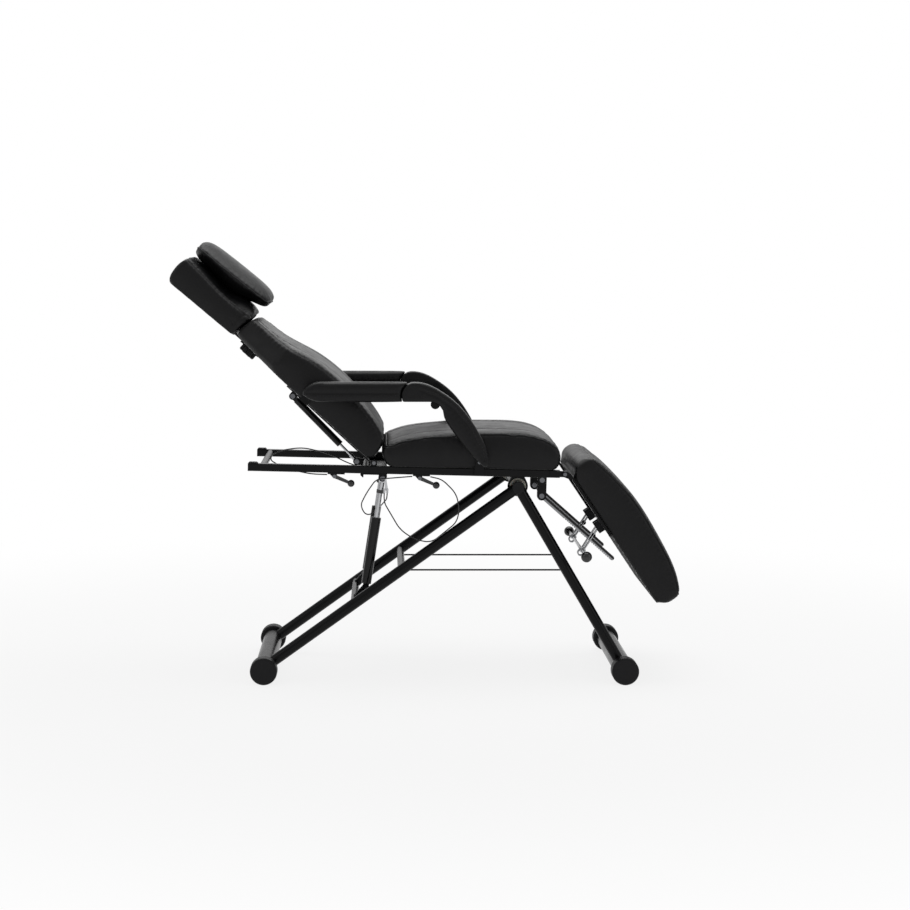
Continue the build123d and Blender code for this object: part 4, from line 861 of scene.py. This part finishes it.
def stuffed(name, nodes, seams, still, under=None, swell=0.006, voxel=0.0075, soft=5):
    """The nodes' form as one closed cover, blown up as cloth between its held seams."""
    points, faces = [], []
    for node in nodes:
        first = len(points)
        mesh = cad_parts[node].data
        points += [v.co for v in mesh.vertices]
        faces += [[first + i for i in face.vertices] for face in mesh.polygons]
    form = bpy.data.meshes.new(name)
    form.from_pydata(points, [], faces)
    cover = bpy.data.objects.new(name, form)
    scene.collection.objects.link(cover)
    skin = cover.modifiers.new("skin", "REMESH")
    skin.mode = "VOXEL"
    skin.voxel_size = voxel
    skin.use_smooth_shade = True
    ease = cover.modifiers.new("ease", "SMOOTH")
    ease.factor = 0.5
    ease.iterations = soft
    settle(cover)
    rows = rows_of(cover.data)
    skin = skin_of(cover)
    away, _ = reach_of(rows, [snapped(skin, path, closed=loop)[0] for path, loop in seams])
    fixed = np.array([still(Vector(row)) for row in rows])
    held = cover.vertex_groups.new(name="held")
    held.add([int(i) for i in np.nonzero(fixed | (away < sewn_reach))[0]], 1.0, "REPLACE")
    air = cover.modifiers.new("air", "CLOTH")
    air.settings.quality = 5
    air.settings.mass = 0.3
    air.settings.use_pressure = True
    air.settings.uniform_pressure_force = 4.0
    air.settings.vertex_group_mass = "held"
    air.settings.effector_weights.gravity = 0.0
    air.point_cache.frame_start = 1
    air.point_cache.frame_end = air_steps
    for step in range(1, air_steps + 1):
        scene.frame_set(step)
    graph = bpy.context.evaluated_depsgraph_get()
    moved = rows_of(cover.evaluated_get(graph).data) - rows
    size = np.linalg.norm(moved, axis=1, keepdims=True)
    moved *= swell * np.tanh(size / swell) / np.maximum(size, 1e-9)
    cover.modifiers.clear()
    cover.data.vertices.foreach_set("co", (rows + moved).ravel())
    scene.frame_set(1)
    cover.vertex_groups.clear()
    finer = cover.modifiers.new("finer", "SUBSURF")
    finer.levels = finer.render_levels = 1
    settle(cover)
    cover.data.materials.append(vinyl)
    cover.data.materials.append(dust_cloth)
    for face in cover.data.polygons:
        face.use_smooth = True
        face.material_index = int(under is not None and under(face.center, face.normal))
    return cover


def sew(cover, paths, width, depth, pucker=0.0, wave=0.016):
    """Pulls the cover in along the seams and gathers it in small puckers beside them."""
    rows = rows_of(cover.data)
    away, run = reach_of(rows, paths)
    pull = depth * np.exp(-((away / width) ** 2))
    ripple = 0.6 * np.sin(run / wave * full_turn) + 0.4 * np.sin(run / wave * 2.3 + 1.7)
    gather = pucker * ripple * np.exp(-(((away - width * 2.4) / (width * 1.6)) ** 2))
    rows = rows - rows_of(cover.data, "normal") * (pull + gather)[:, None]
    cover.data.vertices.foreach_set("co", rows.ravel())
    cover.data.update()


def bulged(cover, share, way):
    """Moves the cover this way, as far as the share of each place says, in metres."""
    rows = rows_of(cover.data)
    shift = np.array([share(Vector(row)) for row in rows])
    cover.data.vertices.foreach_set("co", (rows + shift[:, None] * np.array(way)).ravel())
    cover.data.update()


def ramp(value, start, end):
    """0 before the start and 1 past the end, with a soft step between them."""
    share = min(1.0, max(0.0, (value - start) / (end - start)))
    return share * share * (3.0 - 2.0 * share)


def bars(name, rows, half, radius, material, body):
    """Short round bars, such as stitches or staples, as one mesh that rides on the body."""
    points, faces = [], []
    for centre, heading, out in rows:
        sideways = out.cross(heading).normalized()
        first = len(points)
        for share, size, sunk in ((-1, 0.5, 0.9), (-0.6, 1, 0.1), (0.6, 1, 0.1), (1, 0.5, 0.9)):
            middle = centre + heading * half * share - out * radius * sunk
            for turn in range(6):
                angle = turn * math.pi / 3
                arm = sideways * math.cos(angle) + out * math.sin(angle)
                points.append(middle + arm * radius * size)
        for ring in range(3):
            for turn in range(6):
                a = first + ring * 6 + turn
                b = first + ring * 6 + (turn + 1) % 6
                faces.append((a, b, b + 6, a + 6))
        faces.append(tuple(first + turn for turn in range(5, -1, -1)))
        faces.append(tuple(first + 18 + turn for turn in range(6)))
    mesh = bpy.data.meshes.new(name)
    mesh.from_pydata(points, [], faces)
    mesh.materials.append(material)
    for face in mesh.polygons:
        face.use_smooth = True
    made = bpy.data.objects.new(name, mesh)
    scene.collection.objects.link(made)
    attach(made, body)
    return made


def stitched(name, skin, path, closed, aside, body, pitch=0.0075):
    """A row of thread stitches beside a seam."""
    places, normals = snapped(skin, path, 2, closed)
    count = len(places)
    guesses = []
    for i in range(count):
        ahead = places[(i + 1) % count] if closed or i < count - 1 else places[i]
        behind = places[i - 1] if closed or i else places[i]
        heading = (ahead - behind).normalized()
        guesses.append(places[i] + normals[i].cross(heading).normalized() * aside)
    places, normals = snapped(skin, guesses, 1, closed)
    rows, since = [], 0.0
    for i in range(1, count):
        since += (places[i] - places[i - 1]).length
        if since >= pitch:
            since = 0.0
            rows.append((places[i], (places[i] - places[i - 1]).normalized(), normals[i]))
    return bars(name, rows, 0.0026, 0.0006, thread, body)


def piped(name, skin, path, closed, body, radius=0.0024, sunk=0.4):
    """A covered cord sewn into a seam, as one tube on the cover that rides on the body."""
    places, normals = snapped(skin, path, 3, closed)
    line = [place - out * radius * sunk for place, out in zip(places, normals)]
    return tube(name, [(line, closed)], radius, vinyl, body)


def rounded(corners, radius, step=4.0):
    """A closed outline through these corners, in steps of a few mm and eased round them."""
    dense = []
    for i, (s, y) in enumerate(corners):
        next_s, next_y = corners[(i + 1) % len(corners)]
        steps = max(1, round(math.hypot(next_s - s, next_y - y) / step))
        for k in range(steps):
            dense.append((s + (next_s - s) * k / steps, y + (next_y - y) * k / steps))
    span = max(1, round(radius * 0.6 / step))
    eased = []
    for i in range(len(dense)):
        near = [dense[(i + k) % len(dense)] for k in range(-span, span + 1)]
        eased.append((sum(p[0] for p in near) / len(near), sum(p[1] for p in near) / len(near)))
    return eased


def rim(place, outline, stations, out=8.0, lift=8.0):
    """Places just outside the sewn edge round the top of a cushion, for snapping on to it."""
    stops, heights = zip(*stations)
    guesses = []
    for i, (s, y) in enumerate(outline):
        before, after = outline[i - 1], outline[(i + 1) % len(outline)]
        heading = Vector((after[0] - before[0], after[1] - before[1])).normalized()
        n = float(np.interp(s, stops, heights))
        guesses.append(place(s + heading.y * out, n + lift, y - heading.x * out))
    return guesses


def stapled(name, skin, path, body, pitch=0.022):
    """A row of steel staples that holds the turned-in cover under a board."""
    places, normals = snapped(skin, path, 2)
    rows, since = [], 0.0
    for i in range(1, len(places)):
        since += (places[i] - places[i - 1]).length
        if since >= pitch:
            since = 0.0
            rows.append((places[i], (places[i] - places[i - 1]).normalized(), normals[i]))
    return bars(name, rows, 0.005, 0.0006, chrome, body)


seat_edge = (
    (-420.0, 84.0), (-385.0, 112.0), (-340.0, 131.0), (-250.0, 146.0), (-60.0, 157.0),
    (20.0, 155.0), (80.0, 139.0), (112.0, 117.0), (136.0, 92.0),
)
seat_outline = rounded([(-386.0, -250.0), (112.0, -250.0), (112.0, 250.0), (-386.0, 250.0)], 34.0)
seat_rim = rim(deck, seat_outline, seat_edge)
seat_stops, seat_heights = zip(*seat_edge)
seat_channels = [
    [
        deck(s, float(np.interp(s, seat_stops, seat_heights)) + 14.0, side * 148.5)
        for s in np.arange(-380.0, 110.0, 4.0)
    ]
    for side in (-1, 1)
]
seat_floor = deck(0.0, 69.0)
seat_cover = stuffed(
    "seat_upholstery",
    ["seat_cushion", "seat_board"],
    [(seat_rim, True), (seat_channels[0], False), (seat_channels[1], False)],
    still=lambda place: (place - seat_floor).dot(deck_up) < 0.0,
    under=lambda place, out: out.dot(deck_up) < -0.8,
)
# The rear of the foam leans out until it meets the back.
seat_foot = deck(0.0, 0.0)
seat_along = deck(1000.0, 0.0) - seat_foot
bulged(
    seat_cover,
    lambda place: 0.004
    * ramp((place - seat_foot).dot(seat_along), -0.36, -0.39)
    * ramp((place - seat_foot).dot(deck_up), 0.072, 0.095),
    -seat_along,
)
seat_skin = skin_of(seat_cover)
sew(seat_cover, [snapped(seat_skin, seat_rim)[0]], 0.005, 0.002, 0.0009)
seat_lines = [snapped(seat_skin, line, closed=False)[0] for line in seat_channels]
sew(seat_cover, seat_lines, 0.007, 0.003, 0.0007, 0.022)
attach(seat_cover, "deck")
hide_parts("seat_cushion", "seat_board")
seat_skin = skin_of(seat_cover)
piped("seat_piping", seat_skin, seat_rim, True, "deck", 0.0026, 0.0)
stitched("seat_edge_stitching", seat_skin, seat_rim, True, 0.0075, "deck")
for number, line in enumerate(seat_channels, 1):
    stitched(f"seat_channel_stitching_{number}", seat_skin, line, False, 0.0, "deck")
seat_turn_in = rounded([(-368.0, -232.0), (92.0, -232.0), (92.0, 232.0), (-368.0, 232.0)], 30.0)
stapled("seat_staples", seat_skin, [deck(s, 30.0, y) for s, y in seat_turn_in], "deck")

# Back cushion: the same foam and cover on the back board, thick at the loins, waisted at
# the shoulders, with top-stitched edges and two long channels.
back = side_view(-143.484, 647.626, 137.35, -1.0)
back_up = back(0.0, 1000.0) - back(0.0, 0.0)
back_edge = (
    (-10.0, 52.0), (32.0, 70.0), (80.0, 87.0), (152.0, 102.0), (235.0, 108.0),
    (348.0, 97.0), (404.0, 82.0), (450.0, 72.0), (540.0, 66.0), (575.0, 60.0),
)
back_outline = rounded(
    [
        (32.0, -250.0), (395.0, -250.0), (542.0, -156.0),
        (542.0, 156.0), (395.0, 250.0), (32.0, 250.0),
    ],
    34.0,
)
back_rim = rim(back, back_outline, back_edge)
back_stops, back_heights = zip(*back_edge)
back_channel_run = np.linspace(36.0, 538.0, 126)
back_channel_half = np.interp(back_channel_run, (36.0, 395.0, 538.0), (148.5, 148.5, 108.0))
back_channels = [
    [
        back(s, float(np.interp(s, back_stops, back_heights)) + 12.0, side * y)
        for s, y in zip(back_channel_run, back_channel_half)
    ]
    for side in (-1, 1)
]
back_floor = back(0.0, 11.5)
back_cover = stuffed(
    "back_upholstery",
    ["back_cushion", "back_board"],
    [(back_rim, True), (back_channels[0], False), (back_channels[1], False)],
    still=lambda place: (place - back_floor).dot(back_up) < 0.0,
    under=lambda place, out: out.dot(back_up) < -0.8,
    soft=12,
)
back_foot = back(0.0, 0.0)
back_along = back(1000.0, 0.0) - back_foot
bulged(
    back_cover,
    lambda place: 0.004
    * ramp((place - back_foot).dot(back_along), 0.15, 0.06)
    * ramp((place - back_foot).dot(back_up), 0.03, 0.06),
    (back_up - back_along).normalized(),
)
back_skin = skin_of(back_cover)
sew(back_cover, [snapped(back_skin, back_rim)[0]], 0.005, 0.002, 0.0009)
back_lines = [snapped(back_skin, line, closed=False)[0] for line in back_channels]
sew(back_cover, back_lines, 0.007, 0.003, 0.0007, 0.022)
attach(back_cover, "backrest")
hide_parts("back_cushion", "back_board")
back_skin = skin_of(back_cover)
stitched("back_edge_stitching_outer", back_skin, back_rim, True, 0.005, "backrest")
stitched("back_edge_stitching_inner", back_skin, back_rim, True, -0.005, "backrest")
for number, line in enumerate(back_channels, 1):
    stitched(f"back_channel_stitching_{number}", back_skin, line, False, 0.0, "backrest")
back_turn_in = rounded(
    [
        (34.0, -232.0), (386.0, -232.0), (526.0, -142.0),
        (526.0, 142.0), (386.0, 232.0), (34.0, 232.0),
    ],
    30.0,
)
stapled("back_staples", back_skin, [back(s, -24.0, y) for s, y in back_turn_in], "backrest")

# Leg rest cushion: foam and cover on the leg board, with a round knee that swings up
# against the seat and a piped edge all round.
leg_up = leg(0.0, 1000.0) - leg(0.0, 0.0)
leg_edge = (
    (-22.0, 72.0), (11.0, 94.0), (76.0, 113.0), (152.0, 126.0), (230.0, 129.0),
    (313.0, 124.0), (377.0, 118.0), (426.0, 109.0), (461.0, 97.0), (500.0, 74.0),
)
leg_outline = rounded([(12.0, -254.0), (484.0, -254.0), (484.0, 254.0), (12.0, 254.0)], 34.0)
leg_rim = rim(leg, leg_outline, leg_edge)
leg_stops, leg_heights = zip(*leg_edge)
leg_channels = [
    [
        leg(s, float(np.interp(s, leg_stops, leg_heights)) + 12.0, side * 150.8)
        for s in np.arange(16.0, 482.0, 4.0)
    ]
    for side in (-1, 1)
]
leg_floor = leg(0.0, 27.5)
leg_cover = stuffed(
    "leg_upholstery",
    ["leg_cushion", "leg_board"],
    [(leg_rim, True), (leg_channels[0], False), (leg_channels[1], False)],
    still=lambda place: (place - leg_floor).dot(leg_up) < 0.0,
    under=lambda place, out: out.dot(leg_up) < -0.8,
)
leg_skin = skin_of(leg_cover)
sew(leg_cover, [snapped(leg_skin, leg_rim)[0]], 0.005, 0.002, 0.0009)
leg_lines = [snapped(leg_skin, line, closed=False)[0] for line in leg_channels]
sew(leg_cover, leg_lines, 0.007, 0.003, 0.0007, 0.022)
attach(leg_cover, "leg_rest")
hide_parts("leg_cushion", "leg_board")
leg_skin = skin_of(leg_cover)
piped("leg_piping", leg_skin, leg_rim, True, "leg_rest", 0.0026, 0.0)
stitched("leg_edge_stitching", leg_skin, leg_rim, True, 0.0075, "leg_rest")
for number, line in enumerate(leg_channels, 1):
    stitched(f"leg_channel_stitching_{number}", leg_skin, line, False, 0.0, "leg_rest")
leg_turn_in = rounded([(46.0, -236.0), (454.0, -236.0), (454.0, 236.0), (46.0, 236.0)], 30.0)
stapled("leg_staples", leg_skin, [leg(s, -10.0, y) for s, y in leg_turn_in], "leg_rest")

# Head rest cushion: a firm block of foam on the head board with a double-stitched edge, and
# a cross seam near its lower end where the end panel starts.
head_seat = back(550.0, -1.0) * 1000
head = side_view(head_seat.x, head_seat.z, 141.15, -1.0)
head_up = head(0.0, 1000.0) - head(0.0, 0.0)
head_edge = (
    (-26.0, 58.0), (-12.0, 61.0), (63.0, 62.0), (160.0, 70.0), (250.0, 80.0), (280.0, 83.0),
)
head_outline = rounded([(-4.0, -139.0), (254.0, -139.0), (254.0, 139.0), (-4.0, 139.0)], 22.0)
head_rim = rim(head, head_outline, head_edge)
head_end_seams = [
    [head(32.0 - n * 0.16, n, side * 156.0) for n in np.arange(14.0, 66.0, 3.0)]
    for side in (-1, 1)
]
head_floor = head(0.0, 12.5)
head_cover = stuffed(
    "head_upholstery",
    ["head_cushion", "head_board"],
    [(head_rim, True), (head_end_seams[0], False), (head_end_seams[1], False)],
    still=lambda place: (place - head_floor).dot(head_up) < 0.0,
    under=lambda place, out: out.dot(head_up) < -0.8,
    voxel=0.006,
)
# The foam is pulled in under the board, so the under side is fuller than the board itself.
head_foot = head(0.0, 0.0)
head_along = head(1000.0, 0.0) - head_foot
bulged(
    head_cover,
    lambda place: ramp((place - head_foot).dot(head_up), 0.052, 0.012)
    * (0.010 - 0.004 * ramp((place - head_foot).dot(head_along), 0.0, 0.26)),
    -head_up,
)
# The top panel crowns up between its seams at the neck, under the end of the pillow.
bulged(
    head_cover,
    lambda place: 0.014
    * ramp((place - head_foot).dot(head_along), 0.105, 0.045)
    * ramp((place - head_foot).dot(head_along), -0.036, 0.024)
    * ramp((place - head_foot).dot(head_up), 0.04, 0.056)
    * ramp(abs(place.y), 0.137, 0.09),
    head_up,
)
head_skin = skin_of(head_cover)
sew(head_cover, [snapped(head_skin, head_rim)[0]], 0.0045, 0.002, 0.0009)
head_lines = [snapped(head_skin, line, closed=False)[0] for line in head_end_seams]
sew(head_cover, head_lines, 0.0045, 0.0036, 0.0018, 0.03)
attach(head_cover, "headrest")
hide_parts("head_cushion", "head_board")
head_skin = skin_of(head_cover)
stitched("head_edge_stitching_outer", head_skin, head_rim, True, 0.0045, "headrest")
stitched("head_edge_stitching_inner", head_skin, head_rim, True, -0.0045, "headrest")

# Pillow: a loose oval cushion held on the head rest, cut from two panels that meet in a
# piped seam round its middle.
pillow_halves = (
    (-26.0, 82.0), (-18.0, 96.0), (0.0, 108.0), (40.0, 119.0), (115.0, 125.0),
    (190.0, 119.0), (230.0, 108.0), (248.0, 96.0), (256.0, 82.0),
)
pillow_corners = [(h, -half) for h, half in pillow_halves]
pillow_corners += [(h, half) for h, half in reversed(pillow_halves)]
pillow_rim = rim(head, rounded(pillow_corners, 16.0), ((-40.0, 127.0), (270.0, 127.0)), 10.0, 0.0)
pillow_cover = stuffed(
    "pillow_upholstery",
    ["head_pillow"],
    [(pillow_rim, True)],
    still=lambda place: False,
    voxel=0.006,
)
# The filling sits back from the neck, so the low end is short and tucked up underneath.
bulged(
    pillow_cover,
    lambda place: 0.011 * ramp((place - head_foot).dot(head_along), 0.1, -0.02),
    head_along,
)
bulged(
    pillow_cover,
    lambda place: 0.007
    * ramp((place - head_foot).dot(head_along), 0.12, 0.0)
    * ramp((place - head_foot).dot(head_up), 0.127, 0.108),
    head_up,
)
sew(pillow_cover, [snapped(skin_of(pillow_cover), pillow_rim)[0]], 0.006, 0.003, 0.0006, 0.02)
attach(pillow_cover, "headrest")
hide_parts("head_pillow")
pillow_skin = skin_of(pillow_cover)
piped("pillow_piping", pillow_skin, pillow_rim, True, "headrest", 0.0026, -0.2)
stitched("pillow_stitching", pillow_skin, pillow_rim, True, 0.007, "headrest")

# Arm pads: firm foam over steel bars, covered in the same leather with one seam along the
# side of each pad and round its nose. Near the elbow the cover keeps close to the bar.
elbow = Vector((-25.8, 0.0, 850.3)) / 1000


def by_elbow(place, reach=0.048):
    """Whether a place is so near the elbow pin that the cover is held there."""
    return math.hypot(place.x - elbow.x, place.z - elbow.z) < reach


arm_seams = []
for side in (-1, 1):
    outer = [(x, 326.0, 858.0) for x in np.arange(-66.0, -336.0, -4.0)]
    nose = [(-360.0, y, 857.0) for y in np.arange(322.0, 266.0, -4.0)]
    inner = [(x, 262.0, 858.0) for x in np.arange(-336.0, -66.0, 4.0)]
    arm_seams.append([Vector((x, side * y, z)) / 1000 for x, y, z in outer + nose + inner])
arm_cover = stuffed(
    "arm_pad_upholstery",
    ["arm_pads"],
    [(line, False) for line in arm_seams],
    still=lambda place: abs(place.y) < 0.2695 or by_elbow(place),
    voxel=0.0035,
    swell=0.003,
    soft=2,
)
arm_skin = skin_of(arm_cover)
arm_lines = [snapped(arm_skin, line, closed=False)[0] for line in arm_seams]
sew(arm_cover, arm_lines, 0.004, 0.0018, 0.0005)
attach(arm_cover, "armrests")
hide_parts("arm_pads")
arm_skin = skin_of(arm_cover)
for number, line in enumerate(arm_seams, 1):
    stitched(f"arm_stitching_{number}", arm_skin, line, False, 0.0045, "armrests")

# Arm strut pads: the bent fronts of the arms, padded and covered like the tops, with one
# seam down the outer side from the elbow to the toe.
strut_way = (
    (-8.0, 866.0), (36.0, 849.0), (82.0, 818.0), (132.0, 762.0), (166.0, 697.0), (176.0, 664.0),
)
strut_run = [math.hypot(b[0] - a[0], b[1] - a[1]) for a, b in zip(strut_way, strut_way[1:])]
strut_stops = np.concatenate([[0.0], np.cumsum(strut_run)])
strut_marks = np.arange(0.0, strut_stops[-1], 4.0)
strut_x = np.interp(strut_marks, strut_stops, [place[0] for place in strut_way])
strut_z = np.interp(strut_marks, strut_stops, [place[1] for place in strut_way])
strut_seams = [
    [Vector((x, side * 326.0, z)) / 1000 for x, z in zip(strut_x, strut_z)] for side in (-1, 1)
]
strut_cover = stuffed(
    "arm_strut_upholstery",
    ["arm_strut_pads"],
    [(line, False) for line in strut_seams],
    still=lambda place: abs(place.y) < 0.2695 or by_elbow(place),
    voxel=0.0035,
    swell=0.003,
    soft=2,
)
strut_skin = skin_of(strut_cover)
strut_lines = [snapped(strut_skin, line, 6, closed=False)[0] for line in strut_seams]
sew(strut_cover, strut_lines, 0.004, 0.0018, 0.0005)
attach(strut_cover, "arm_struts")
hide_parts("arm_strut_pads")
strut_skin = skin_of(strut_cover)
for number, line in enumerate(strut_seams, 1):
    stitched(f"strut_stitching_{number}", strut_skin, line, False, 0.0045, "arm_struts")
